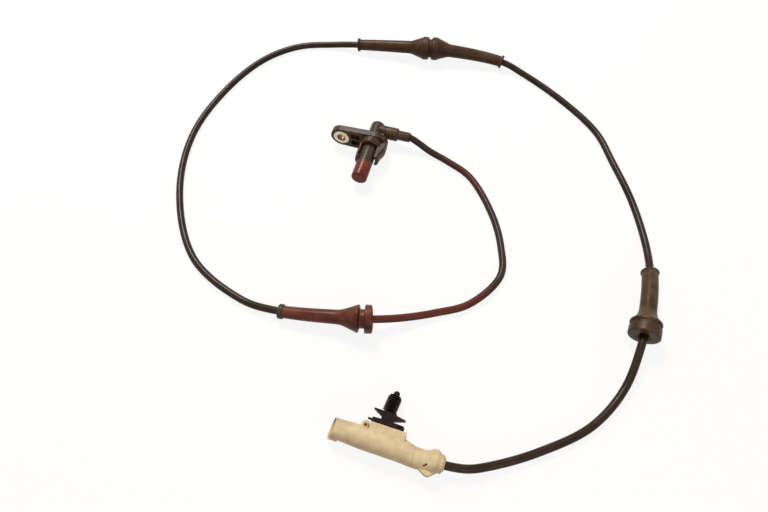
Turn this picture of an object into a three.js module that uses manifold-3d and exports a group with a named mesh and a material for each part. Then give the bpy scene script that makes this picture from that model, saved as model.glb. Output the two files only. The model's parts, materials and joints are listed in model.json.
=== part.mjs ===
// Wheel speed sensor with its cable, three rubber grommets, plug and push-in clip.
// Millimetres, +Z up. The sensor head lies on its side with its probe pointing along -Y.
// The origin is under the middle of the sensor head, on the surface that everything lies on.
import * as THREE from 'three';
import * as BufferGeometryUtils from 'three/addons/utils/BufferGeometryUtils.js';
import Module from 'manifold-3d';

const wasm = await Module();
wasm.setup();

// Fits
const seatGap = 0.3; // left between pieces that touch
const sleeveGap = 0.5; // between the cable and each grommet's bore
const shaftSides = 32;
const smallSides = 14;
const sleeveSides = 20;

// Cable
const cableDiameter = 5.2;
const cableSides = 10;
const cableSteps = 80;
const coreDiameter = 1.5;
const coreSpacing = 2.6;

// Sensor head
const probeRadius = 6.05;
const probeLength = 35;
const capsuleWall = 1.1;
const capsuleTip = 1.3;
const capsuleSeat = 3;
const capsuleEdge = 0.6;
const flangeThickness = 4.8;
const flangeRadius = 9.75;
const flangeReach = 12; // from the probe's axis to the flange's round end
const bushSpacing = 24.8;
const bushRadius = 6.3;
const bushHoleRadius = 3.3;
const bushStandout = 0.4;
const lobeWall = 2;
const collarRadius = 9.2;
const collarDepth = 5.5;
const pocketDepth = 3;
const pocketHeight = 5;
const pocketRib = 1.8;
const pocketWall = 1.5;
const wingGap = 1.05;
const wingHalfWidth = 5;
const wingReachLeft = 9.1;
const wingReachRight = 12.4;
const wingTipLeft = 8.1;
const wingTipRight = 9.8;
const wingLengthLeft = 19.3;
const wingLengthRight = 16;
const wingTaper = 3.5; // how far below the collar each wing draws in
const knobRadius = 5.6;
const knobShoulder = 18;
const knobDome = 3.5;
const knobWall = 1;
const outletHeight = 14.1; // the cable outlet's axis behind the mounting face
const outletRadius = 5.1;
const outletReach = 7.5;
const outletWall = 0.9;
const gussetHalfWidth = 3.2;

// Chip, magnet and leads inside the probe
const carrierShelf = 2;
const carrierTail = 2.6;
const chipWidth = 4.6;
const chipHeight = 4;
const chipThickness = 1.2;
const magnetRadius = 1.9;
const magnetLength = 3;
const magnetDrop = 0.6;
const leadSpacing = 3;
const leadWidth = 0.9;
const leadThickness = 0.4;
const leadEnd = 4.2;
const capacitorWidth = 4.2;
const capacitorLength = 4;
const capacitorHeight = 1;
const capacitorPlace = 17;
const crimpRadius = 1.05;
const crimpLength = 3.6;
const coreEase = 3.6; // the cores turn into the outlet this far before its end

// Strain relief
const reliefShoulder = 9.5;
const reliefTail = 9.7;
const reliefTailRadius = 3.75;
const reliefNeckDepth = 4.2;
const reliefEdge = 0.5;
const reliefFlare = 0.7;
const reliefFlareLength = 2.4;
const sheathInset = 17; // the sheath's end, measured back from the relief's open end

// Grommets, each placed by the cable distance at the middle of its sealing groove
const nearGrommetAt = 270.4;
const middleGrommetAt = 774.5;
const farGrommetAt = 1120;

// Plug
const plugMouthX = 48.8;
const plugMouthY = -208.9;
const plugTurn = THREE.MathUtils.degToRad(-2.6);
const plugLength = 70.4;
const mouthRadius = 6.2;
const mouthWall = 1.2;
const mouthDepth = 14;
const mouthCut = 0.25; // where the slanted rim crosses the plug's axis
const mouthSlope = 0.298; // the rim runs back this much for each millimetre up
const barrelRadius = 7;
const barrelStart = 20;
const taperStart = 44.2;
const seamPlace = 51.4;
const seamRadius = 6.2;
const seamDrop = 1.2; // the plug's centre sits this much lower at the seam
const seamGap = 0.3;
const capWaistRadius = 6.1;
const capWaistPlace = 57.5;
const capNeckRadius = 6.3;
const capNeckPlace = 60.1;
const capBulbRadius = 7.3;
const capBulbPlace = 62.6;
const capBulbLength = 2.6;
const capShoulder = 1.2;
const capEndRadius = 3.9;
const capWall = 1.2;
const capEndWall = 4.6;
const capFlare = 0.5; // the cable's hole widens this much towards the cap's end
const spigotReach = 8.5; // the housing's rear end inside the cap
const blockStart = 21.7;
const blockLength = 22.5;
const blockTop = 9.5;
const blockHalfHeight = 6;
const eyeRadius = 2.8;
const eyeHoleRadius = 0.8;
const eyeDrop = 2.3; // the eyelet's axis below the block's top
const eyeLead = 2.6; // the eyelet's axis in front of the block
const eyeLow = -2.5;
const eyeHigh = 2.8;
const eyeSlotLead = 0.9;
const eyeSlotWidth = 0.9;
const eyeSlotDepth = 3.9;
const eyeSlotLow = -0.5;
const beadLength = 5.3; // how far the bead under the mouth runs back
const beadTop = 0.5;
const beadSide = 2; // the bead stays this far below the plug's middle, as the plug lies
const beadHeight = 1.1;
const lugPlace = 61.65; // the middle of the lug's crest
const lugCrest = 2.3;
const lugReach = 9.3;
const lugRoot = 5.5;
const lugFrontRun = 6.9;
const lugBackRun = 4.2;
const lugHalfHeight = 2.6;
const capSlotPlace = 59.3;
const capSlotLength = 3.4;
const capSlotWidth = 1.7;
const capSlotAngle = THREE.MathUtils.degToRad(144); // round the cap, from its upper side
const capSlotTurn = THREE.MathUtils.degToRad(63);
const wireDrop = 0.7; // the two wires lie this much below the plug's axis
const terminalSpacing = 4.6;
const pinHoleRun = 3;
const pinRadius = 0.75;
const pinReach = 5.4;
const terminalRadius = 1.3;
const terminalLength = 24;
const barrelCrimpRadius = 1.5;
const barrelCrimpLength = 10;
const sealLength = 5;
const lockThickness = 2;
const mouthSealWidth = 2.4;
const mouthSealThickness = 0.6;

// Push-in clip
const clipSetback = 1.45; // the clip's middle in front of the block's middle
const footLength = 20.7;
const footWidth = 10.5;
const footThickness = 3;
const footLip = 0.5;
const nibRadius = 0.75;
const nibReach = 2.2;
const keyLength = 12;
const keyWidth = 5;
const keyDepth = 1;
const neckSetback = 1.15;
const neckLean = THREE.MathUtils.degToRad(-5);
const stemRadius = 2;
const neckLength = 9.6;
const neckHalfLength = 4;
const neckHalfWidth = 2.6;
const clipWingLow = 5.25;
const clipWingHigh = 8.9;
const clipWingReach = 10.3;
const clipWingTip = 8.35;
const clipWingThickness = 0.5;
const clipWingHalfWidth = 1.8;
const stemSetback = 1.2;
const finCount = 8;
const finRadius = 4.5;
const finPitch = 1.36;
const tipRadius = 2.05;
const tipLength = 2.6;

// Sizes that follow from those above
const cableRadius = cableDiameter / 2;
const coreRadius = coreDiameter / 2;
const lobeRadius = bushRadius + seatGap + lobeWall;
const knobLength = knobShoulder + knobDome;
const headX = (bushSpacing + lobeRadius - Math.max(flangeReach, wingReachRight)) / 2;
const headY = (probeLength - knobLength) / 2;
const headZ = flangeRadius;
const reliefStart = outletReach + seatGap;
const reliefEnd = reliefStart + reliefShoulder + reliefTail;
const sheathStart = reliefEnd - sheathInset;
const lieHeight = cableRadius + 0.05;
const plugZ = capBulbRadius;
const capStart = seamPlace + seamGap;
const sheathEnd = plugLength - capEndWall + seatGap;

// The cable's way from the head to the plug, over the surface and up into each grommet
const cableWay = [
  [45.5, 19.2, 7.2],
  [55, 16.4, 4.2],
  [71, 11.2, 2.8],
  [90, 1.5, lieHeight],
  [112.7, -27.6, lieHeight],
  [124.4, -54, lieHeight],
  [128.2, -77, lieHeight],
  [112, -104, lieHeight],
  [91.1, -117, 3],
  [70, -128.2, 6],
  [52, -136.1, 10.1],
  [38, -139, 9.9],
  [-11, -145.2, 5.2],
  [-38, -143, lieHeight],
  [-82.6, -122.4, lieHeight],
  [-118, -71, lieHeight],
  [-132.2, -14.4, lieHeight],
  [-124.2, 42.3, lieHeight],
  [-107, 80.5, lieHeight],
  [-84, 102.3, lieHeight],
  [-56, 112, 3.3],
  [-32.2, 115.2, 6.1],
  [18, 121.2, 9.8],
  [42, 124.9, 9.8],
  [91.6, 127.9, 6.1],
  [112, 121.6, 3.3],
  [145.4, 101.8, lieHeight],
  [178.3, 73.5, lieHeight],
  [194.1, 46, lieHeight],
  [213, 8, lieHeight],
  [225.2, -34, 4.8],
  [226.6, -62, 9],
  [224.8, -94, 11.4],
  [223.4, -106, 11],
  [217.2, -136, 4.4],
  [200, -165, lieHeight],
  [170.3, -189.4, lieHeight],
  [145, -204.6, 3.9],
  [132, -210.4, 6.4],
];

// Materials
function plastic(color, roughness) {
  return new THREE.MeshStandardMaterial({ color, roughness, metalness: 0 });
}

function metal(color, roughness) {
  return new THREE.MeshStandardMaterial({ color, roughness, metalness: 1 });
}

const bodyPlastic = plastic(0x54473a, 0.45);
const capsulePlastic = plastic(0x6e3c2e, 0.35);
const carrierPlastic = plastic(0x2b2b2d, 0.6);
const chipPlastic = plastic(0x18181a, 0.4);
const magnetMetal = metal(0x8d8f92, 0.35);
const bushMetal = metal(0xe8dfc6, 0.35);
const leadMetal = metal(0xc8b27a, 0.3);
const capacitorCeramic = plastic(0x9a5a2a, 0.5);
const sheathPlastic = plastic(0x3c2e24, 0.3);
const coreBlue = plastic(0x2f4f8f, 0.5);
const coreBrown = plastic(0x6b4226, 0.5);
const redBrownRubber = plastic(0x6c3a2e, 0.55);
const darkRubber = plastic(0x4a3426, 0.6);
const greyBrownRubber = plastic(0x5a4838, 0.6);
const plugPlastic = plastic(0xdabe96, 0.5);
const lockPlastic = plastic(0xc9c4b8, 0.5);
const sealRubber = plastic(0x8a4a30, 0.7);
const clipPlastic = plastic(0x231a1a, 0.45);

// Closed geometry with its faces pointing out
function signedVolume(position, index) {
  let sum = 0;
  const a = new THREE.Vector3();
  const b = new THREE.Vector3();
  const c = new THREE.Vector3();
  for (let i = 0; i < index.length; i += 3) {
    a.fromBufferAttribute(position, index[i]);
    b.fromBufferAttribute(position, index[i + 1]);
    c.fromBufferAttribute(position, index[i + 2]);
    sum += a.dot(b.cross(c));
  }
  return sum / 6;
}

function closed(geometry) {
  const bare = geometry.index ? geometry.toNonIndexed() : geometry.clone();
  bare.deleteAttribute('normal');
  bare.deleteAttribute('uv');
  const merged = BufferGeometryUtils.mergeVertices(bare, 1e-4);
  const kept = [];
  for (let i = 0; i < merged.index.count; i += 3) {
    const corners = [0, 1, 2].map((k) => merged.index.getX(i + k));
    if (new Set(corners).size === 3) {
      kept.push(...corners);
    }
  }
  if (signedVolume(merged.attributes.position, kept) < 0) {
    kept.reverse();
  }
  merged.setIndex(kept);
  return merged;
}

function solid(geometry) {
  const merged = closed(geometry);
  return new wasm.Manifold(new wasm.Mesh({
    numProp: 3,
    vertProperties: new Float32Array(merged.attributes.position.array),
    triVerts: new Uint32Array(merged.index.array),
  }));
}

function geometryOf(shape) {
  const mesh = shape.getMesh();
  const geometry = new THREE.BufferGeometry();
  geometry.setAttribute('position', new THREE.BufferAttribute(mesh.vertProperties, 3));
  geometry.setIndex(new THREE.BufferAttribute(mesh.triVerts, 1));
  return geometry;
}

function addPiece(parent, name, shape, material) {
  const geometry = shape.isBufferGeometry ? closed(shape) : geometryOf(shape);
  geometry.computeVertexNormals();
  const mesh = new THREE.Mesh(geometry, material);
  mesh.name = name;
  parent.add(mesh);
  return mesh;
}

// Basic shapes: turned about Y or X, plates across Y or Z, and boxes by their limits
function rodY(radius, low, high, sides = shaftSides) {
  const geometry = new THREE.CylinderGeometry(radius, radius, high - low, sides);
  return geometry.translate(0, (low + high) / 2, 0);
}

function rodX(radius, low, high, sides = shaftSides) {
  return rodY(radius, low, high, sides).rotateZ(-Math.PI / 2);
}

function turned(profile, sides = shaftSides) {
  const points = profile.map(([radius, along]) => new THREE.Vector2(radius, along));
  return new THREE.LatheGeometry(points, sides);
}

function turnedX(profile, sides = shaftSides) {
  return turned(profile, sides).rotateZ(-Math.PI / 2);
}

function plateAcrossY(outline, low, high) {
  const geometry = new THREE.ExtrudeGeometry(outline, {
    depth: high - low,
    bevelEnabled: false,
    curveSegments: 16,
  });
  return geometry.rotateX(Math.PI / 2).translate(0, high, 0);
}

function plateAcrossZ(corners, halfHeight) {
  const outline = new THREE.Shape(corners.map(([x, y]) => new THREE.Vector2(x, y)));
  const geometry = new THREE.ExtrudeGeometry(outline, { depth: 2 * halfHeight, bevelEnabled: false });
  return geometry.translate(0, 0, -halfHeight);
}

function block(xLow, xHigh, yLow, yHigh, zLow, zHigh) {
  const geometry = new THREE.BoxGeometry(xHigh - xLow, yHigh - yLow, zHigh - zLow);
  return geometry.translate((xLow + xHigh) / 2, (yLow + yHigh) / 2, (zLow + zHigh) / 2);
}

function ringX(outer, inner, low, high, sides = shaftSides) {
  return turnedX([[outer, low], [outer, high], [inner, high], [inner, low], [outer, low]], sides);
}

function union(...geometries) {
  return geometries.map(solid).reduce((sum, part) => sum.add(part));
}

function cut(shape, ...geometries) {
  return geometries.map(solid).reduce((rest, part) => rest.subtract(part), shape);
}

// Groups: the head, the loose cable pieces and the plug
const group = new THREE.Group();

const head = new THREE.Group();
head.position.set(headX, headY, headZ);
group.add(head);

const plug = new THREE.Group();
plug.position.set(plugMouthX, plugMouthY, plugZ);
plug.rotation.z = plugTurn;
group.add(plug);

// Sensor body: flange, collar with two wings, knob and cable outlet in one moulding
function flangeOutline() {
  const centre = flangeReach - flangeRadius;
  const span = bushSpacing + centre;
  const lean = Math.acos((lobeRadius - flangeRadius) / span);
  const outline = new THREE.Shape();
  outline.absarc(centre, 0, flangeRadius, -lean, lean, false);
  outline.absarc(-bushSpacing, 0, lobeRadius, lean, 2 * Math.PI - lean, false);
  return outline;
}

function wing(side, reach, tip, length) {
  const outline = [
    [reach, 1],
    [reach, -collarDepth],
    [(reach + tip) / 2, -collarDepth - wingTaper],
    [tip + 0.5, -length * 0.72],
    [tip, -length + 1],
    [tip - 0.6, -length],
  ];
  const corners = [[collarRadius - 1, 1], ...outline, [probeRadius, -length], [probeRadius, -collarDepth]];
  const flat = plateAcrossZ(corners.map(([x, y]) => [side * x, y]), wingHalfWidth);
  return solid(flat).intersect(solid(turned([[0, 1], ...outline, [0, -length]])));
}

function buildBody() {
  const domeSteps = 5;
  const knob = [[0, 1], [knobRadius, 1]];
  for (let i = 0; i <= domeSteps; i += 1) {
    const angle = (i / domeSteps) * (Math.PI / 2);
    const along = knobShoulder + knobDome * Math.sin(angle);
    knob.push([i < domeSteps ? knobRadius * Math.cos(angle) : 0, along]);
  }
  const collar = [
    [0, 1],
    [collarRadius, 1],
    [collarRadius, -collarDepth + 0.8],
    [collarRadius - 0.8, -collarDepth],
    [0, -collarDepth],
  ];
  const gusset = [
    [knobRadius - 2, flangeThickness - 1],
    [flangeReach - 1.6, flangeThickness - 1],
    [flangeReach - 2.6, flangeThickness + 1.2],
    [outletReach, outletHeight - outletRadius - seatGap],
    [outletReach, outletHeight - outletRadius + 1.6],
    [knobRadius - 2, outletHeight - outletRadius + 1.6],
  ];
  let body = union(
    plateAcrossY(flangeOutline(), 0, flangeThickness),
    turned(collar),
    turned(knob),
    rodX(outletRadius, 0, outletReach).translate(0, outletHeight, 0),
    plateAcrossZ(gusset, gussetHalfWidth),
  );
  body = body.add(wing(1, wingReachRight, wingTipRight, wingLengthRight));
  body = body.add(wing(-1, wingReachLeft, wingTipLeft, wingLengthLeft));
  const boreRadius = probeRadius + seatGap;
  const cavityRadius = knobRadius - knobWall;
  const bushHole = bushRadius + seatGap;
  const pocketStart = -bushSpacing + bushHole + pocketWall;
  const pocketEnd = -collarRadius - 0.8;
  body = cut(
    body,
    rodY(bushHole, -1, flangeThickness + 1).translate(-bushSpacing, 0, 0),
    rodY(boreRadius, -collarDepth - 1, capsuleSeat + seatGap),
    rodY(probeRadius + wingGap, -probeLength, -collarDepth + 0.6),
    rodY(cavityRadius, 0, knobShoulder),
    rodX(outletRadius - outletWall, 0, outletReach + 1).translate(0, outletHeight, 0),
  );
  for (const side of [-1, 1]) {
    const near = side * pocketRib / 2;
    const far = side * (pocketRib / 2 + pocketHeight);
    const low = Math.min(near, far);
    const high = Math.max(near, far);
    body = cut(body, block(pocketStart, pocketEnd, -1, pocketDepth, low, high));
  }
  return body;
}

addPiece(head, 'sensor_body', buildBody(), bodyPlastic);

// Metal bush that takes the fixing screw
function buildBush() {
  const low = -bushStandout;
  const high = flangeThickness + bushStandout;
  const edge = 0.4;
  return turned([
    [bushHoleRadius, low + edge],
    [bushHoleRadius + edge, low],
    [bushRadius - edge, low],
    [bushRadius, low + edge],
    [bushRadius, high - edge],
    [bushRadius - edge, high],
    [bushHoleRadius + edge, high],
    [bushHoleRadius, high - edge],
    [bushHoleRadius, low + edge],
  ]);
}

addPiece(head, 'mounting_bush', buildBush().translate(-bushSpacing, 0, 0), bushMetal);

// Probe capsule, a thin cup closed at its tip
const capsuleBore = probeRadius - capsuleWall;

function buildCapsule() {
  return turned([
    [0, -probeLength],
    [probeRadius - capsuleEdge, -probeLength],
    [probeRadius, -probeLength + capsuleEdge],
    [probeRadius, capsuleSeat],
    [capsuleBore, capsuleSeat],
    [capsuleBore, -probeLength + capsuleTip],
    [0, -probeLength + capsuleTip],
  ]);
}

addPiece(head, 'probe_capsule', buildCapsule(), capsulePlastic);

// Chip carrier with a shelf for the leads and a pocket for the magnet
const chipFront = -probeLength + capsuleTip + seatGap;
const carrierFront = chipFront + chipThickness + seatGap;
const leadLevel = carrierShelf + seatGap;

function buildCarrier() {
  const radius = capsuleBore - seatGap;
  const pocketRadius = magnetRadius + seatGap;
  const pocketEnd = carrierFront + magnetLength + seatGap;
  return cut(
    solid(rodY(radius, carrierFront, carrierTail, 24)),
    block(-radius, radius, carrierFront - 1, carrierTail + 1, carrierShelf, radius + 1),
    rodY(pocketRadius, carrierFront - 1, pocketEnd, smallSides).translate(0, 0, -magnetDrop),
  );
}

addPiece(head, 'chip_carrier', buildCarrier(), carrierPlastic);

addPiece(
  head,
  'sensing_chip',
  block(
    -chipWidth / 2,
    chipWidth / 2,
    chipFront,
    chipFront + chipThickness,
    carrierShelf - chipHeight,
    carrierShelf,
  ),
  chipPlastic,
);

addPiece(
  head,
  'back_magnet',
  rodY(magnetRadius, carrierFront, carrierFront + magnetLength, smallSides).translate(0, 0, -magnetDrop),
  magnetMetal,
);

// Two leads on the shelf, each ending in a crimp, with a capacitor across them
const capacitorLow = leadLevel + leadThickness + seatGap;

addPiece(
  head,
  'capacitor',
  block(
    -capacitorWidth / 2,
    capacitorWidth / 2,
    -capacitorPlace - capacitorLength / 2,
    -capacitorPlace + capacitorLength / 2,
    capacitorLow,
    capacitorLow + capacitorHeight,
  ),
  capacitorCeramic,
);

const crimpStart = leadEnd + seatGap;
const crimpLevel = leadLevel + leadThickness / 2;

function corePath(side) {
  const crimpX = side * leadSpacing / 2;
  const outletZ = -side * coreSpacing / 2;
  const points = [
    [crimpX, crimpStart + crimpLength + seatGap, crimpLevel],
    [crimpX, crimpStart + crimpLength + 2.4, crimpLevel - 0.1],
    [crimpX + 1.3 - side * 0.7, outletHeight - 0.9, crimpLevel * 0.3 + outletZ],
    [outletReach - coreEase, outletHeight, outletZ * 0.9],
    [sheathStart - 2, outletHeight, outletZ * 0.9],
    [sheathStart - seatGap, outletHeight, outletZ * 0.9],
  ];
  return new THREE.CatmullRomCurve3(points.map((p) => new THREE.Vector3(...p)), false, 'centripetal');
}

function tubeAlong(curve, radius, sides, steps) {
  const section = new THREE.Shape();
  for (let i = 0; i < sides; i += 1) {
    const angle = (i / sides) * 2 * Math.PI;
    const x = radius * Math.cos(angle);
    const y = radius * Math.sin(angle);
    if (i === 0) {
      section.moveTo(x, y);
    } else {
      section.lineTo(x, y);
    }
  }
  section.closePath();
  return new THREE.ExtrudeGeometry(section, { steps, extrudePath: curve, bevelEnabled: false });
}

const wires = [
  { name: 'supply', side: -1, color: coreBrown },
  { name: 'signal', side: 1, color: coreBlue },
];

// A wire's place across the plug
function wireLevel(wire) {
  return wire.side * terminalSpacing / 2 - wireDrop;
}

for (const wire of wires) {
  const x = wire.side * leadSpacing / 2;
  const lead = block(
    x - leadWidth / 2,
    x + leadWidth / 2,
    chipFront,
    leadEnd,
    leadLevel,
    leadLevel + leadThickness,
  );
  addPiece(head, `lead_${wire.name}`, lead, leadMetal);
  const crimp = rodY(crimpRadius, crimpStart, crimpStart + crimpLength, smallSides);
  addPiece(head, `crimp_${wire.name}`, crimp.translate(x, 0, crimpLevel), leadMetal);
  addPiece(head, `core_${wire.name}`, tubeAlong(corePath(wire.side), coreRadius, 8, 14), wire.color);
}

// Strain relief: a neck seated in the outlet, then two steps down to the cable
function buildRelief() {
  const bore = cableRadius + seatGap;
  const neck = outletRadius - outletWall - seatGap;
  const neckStart = reliefStart - reliefNeckDepth;
  const step = reliefStart + reliefShoulder;
  return turnedX([
    [bore, neckStart],
    [neck, neckStart],
    [neck, reliefStart],
    [outletRadius, reliefStart],
    [outletRadius, step - reliefEdge],
    [outletRadius - reliefEdge, step],
    [reliefTailRadius, step],
    [reliefTailRadius, reliefEnd - reliefEdge],
    [reliefTailRadius - reliefEdge / 2, reliefEnd],
    [bore + reliefFlare * 0.6, reliefEnd],
    [bore, reliefEnd - reliefFlareLength],
    [bore, neckStart],
  ]).translate(0, outletHeight, 0);
}

addPiece(head, 'strain_relief', buildRelief(), bodyPlastic);

// Cable sheath: straight out of the head, along its way and straight into the plug
function plugPoint(along) {
  const x = plugMouthX + along * Math.cos(plugTurn);
  const y = plugMouthY + along * Math.sin(plugTurn);
  return [x, y, plugZ];
}

const cablePoints = [
  [headX + sheathStart, headY + outletHeight, headZ],
  [headX + reliefEnd, headY + outletHeight, headZ],
  ...cableWay,
  plugPoint(plugLength),
  plugPoint(sheathEnd),
];

function smoothLine(points) {
  const line = new THREE.CatmullRomCurve3(points, false, 'centripetal');
  line.arcLengthDivisions = 4000;
  return line;
}

// The smoothed line may dip between two low points, so it is held at the lying height
const smoothed = smoothLine(cablePoints.map((p) => new THREE.Vector3(...p))).getSpacedPoints(400);
const cableLine = smoothLine(smoothed.map((p) => p.setZ(Math.max(p.z, lieHeight))));
const cableLength = cableLine.getLength();

addPiece(group, 'cable', tubeAlong(cableLine, cableRadius, cableSides, cableSteps), sheathPlastic);

// Grommets: a turned profile bent to the same line as the cable
const cableStops = cableLine.getSpacedPoints(cableSteps);
const stopSpacing = cableLength / cableSteps;

function cableFrame(distance) {
  const place = THREE.MathUtils.clamp(distance / stopSpacing, 0, cableSteps - 1e-6);
  const stop = Math.floor(place);
  const centre = new THREE.Vector3().lerpVectors(cableStops[stop], cableStops[stop + 1], place - stop);
  const along = cableLine.getTangentAt(distance / cableLength);
  const side = new THREE.Vector3(0, 0, 1).cross(along).normalize();
  const up = new THREE.Vector3().crossVectors(along, side);
  return { centre, side, up };
}

function profileOnStops(profile, at, direction) {
  const points = [profile[0]];
  for (let i = 1; i < profile.length; i += 1) {
    const [radiusFrom, from] = profile[i - 1];
    const [radiusTo, to] = profile[i];
    const marks = cableStops
      .map((stop, k) => (k * stopSpacing - at) * direction)
      .filter((mark) => (mark - from) * (mark - to) < -0.01)
      .sort((a, b) => (to > from ? a - b : b - a));
    for (const mark of marks) {
      points.push([THREE.MathUtils.mapLinear(mark, from, to, radiusFrom, radiusTo), mark]);
    }
    points.push(profile[i]);
  }
  return points;
}

function buildGrommet(outer, at, direction) {
  const bore = cableRadius + sleeveGap;
  const first = outer[0][1];
  const last = outer[outer.length - 1][1];
  const ring = [...outer, [bore, last], [bore, first], outer[0]];
  const geometry = turned(profileOnStops(ring, at, direction), sleeveSides);
  const position = geometry.attributes.position;
  for (let i = 0; i < position.count; i += 1) {
    const frame = cableFrame(at + direction * position.getY(i));
    const point = frame.centre
      .addScaledVector(frame.side, position.getX(i))
      .addScaledVector(frame.up, position.getZ(i));
    position.setXYZ(i, point.x, point.y, point.z);
  }
  return geometry;
}

const nearGrommet = {
  collar: 5.1, tubeThin: 4.2, tubeThick: 4.9, rim: 9.3, groove: 6.4, flange: 9.5,
  collarLength: 3, tubeLength: 39.2, coneLength: 11.2, rimLength: 0.9, grooveLength: 3, flangeLength: 4.8,
};

function endGrommetProfile(size) {
  const grooveEnd = size.grooveLength / 2;
  const rimEnd = -grooveEnd - 0.8;
  const rimStart = rimEnd - size.rimLength;
  const coneStart = rimStart - size.coneLength;
  const tubeStart = coneStart - size.tubeLength;
  const collarStart = tubeStart - size.collarLength;
  return [
    [size.collar, collarStart],
    [size.collar, tubeStart],
    [size.tubeThin, tubeStart + 0.4],
    [size.tubeThick, coneStart],
    [size.rim, rimStart],
    [size.rim, rimEnd],
    [size.groove, -grooveEnd],
    [size.groove, grooveEnd],
    [size.flange, grooveEnd + 0.2],
    [size.flange, grooveEnd + size.flangeLength - 0.6],
    [size.flange - 0.6, grooveEnd + size.flangeLength],
  ];
}

addPiece(
  group,
  'grommet_near_sensor',
  buildGrommet(endGrommetProfile(nearGrommet), nearGrommetAt, -1),
  redBrownRubber,
);

const middleGrommet = {
  collar: 5.6, tubeThin: 4.4, tubeThick: 5.3, bulb: 9.4, groove: 7.5,
  collarLength: 2, tubeLength: 46, bellLength: 8, bulbLength: 6, grooveLength: 1.4,
};

function doubleGrommetProfile(size) {
  const half = [];
  const bulbInner = size.grooveLength / 2 + 0.8;
  const bulbOuter = bulbInner + size.bulbLength;
  const bellEnd = bulbOuter + size.bellLength;
  const tubeEnd = bellEnd + size.tubeLength;
  half.push([size.groove, size.grooveLength / 2]);
  half.push([size.bulb - 0.3, bulbInner]);
  half.push([size.bulb, bulbInner + 1]);
  half.push([size.bulb, bulbOuter - 1.5]);
  half.push([size.bulb - 0.9, bulbOuter]);
  half.push([size.tubeThick + 0.9, bellEnd - 1.6]);
  half.push([size.tubeThick, bellEnd + 1]);
  half.push([size.tubeThin, tubeEnd]);
  half.push([size.collar, tubeEnd + 0.4]);
  half.push([size.collar, tubeEnd + size.collarLength]);
  const mirrored = half.map(([radius, along]) => [radius, -along]).reverse();
  return [...mirrored, ...half];
}

addPiece(
  group,
  'grommet_middle',
  buildGrommet(doubleGrommetProfile(middleGrommet), middleGrommetAt, 1),
  darkRubber,
);

const farGrommet = {
  collar: 6.1, tubeThin: 5.4, tubeThick: 5.6, rim: 10.2, groove: 9, flange: 10.3,
  collarLength: 1.4, tubeLength: 33, coneLength: 8, rimLength: 1.4, grooveLength: 1.8, flangeLength: 6,
};

addPiece(
  group,
  'grommet_near_plug',
  buildGrommet(endGrommetProfile(farGrommet), farGrommetAt, 1),
  greyBrownRubber,
);

// Plug housing: mouth, barrel, clip block and a rear spigot that the cap covers
const capInnerRadius = capWaistRadius - capWall;
const spigotRadius = capInnerRadius - seatGap;
const cavityRadius = barrelCrimpRadius + seatGap;
const pinHoleRadius = pinRadius + seatGap;
const socketRadius = mouthRadius - mouthWall;
const housingEnd = seamPlace + spigotReach;
const clipPlace = blockStart + blockLength / 2 - clipSetback;
const beadRadius = mouthRadius + beadHeight;
const mouthFront = mouthCut - mouthSlope * beadRadius;

// How far the plug's centre has dropped at a place along it
function dropAt(along) {
  if (along <= seamPlace) {
    return seamDrop * Math.max(along - taperStart, 0) / (seamPlace - taperStart);
  }
  return seamDrop * THREE.MathUtils.clamp((capBulbPlace - along) / (capBulbPlace - capWaistPlace), 0, 1);
}

function dropped(geometry) {
  const position = geometry.attributes.position;
  for (let i = 0; i < position.count; i += 1) {
    position.setY(i, position.getY(i) - dropAt(position.getX(i)));
  }
  return geometry;
}

// What lies in front of the slanted rim
function beyondRim() {
  const far = beadRadius + 2;
  const corners = [
    [mouthFront - 2, -far],
    [mouthCut - mouthSlope * far, -far],
    [mouthCut + mouthSlope * far, far],
    [mouthFront - 2, far],
  ];
  return plateAcrossY(new THREE.Shape(corners.map(([x, z]) => new THREE.Vector2(x, z))), -far, far);
}

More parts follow.
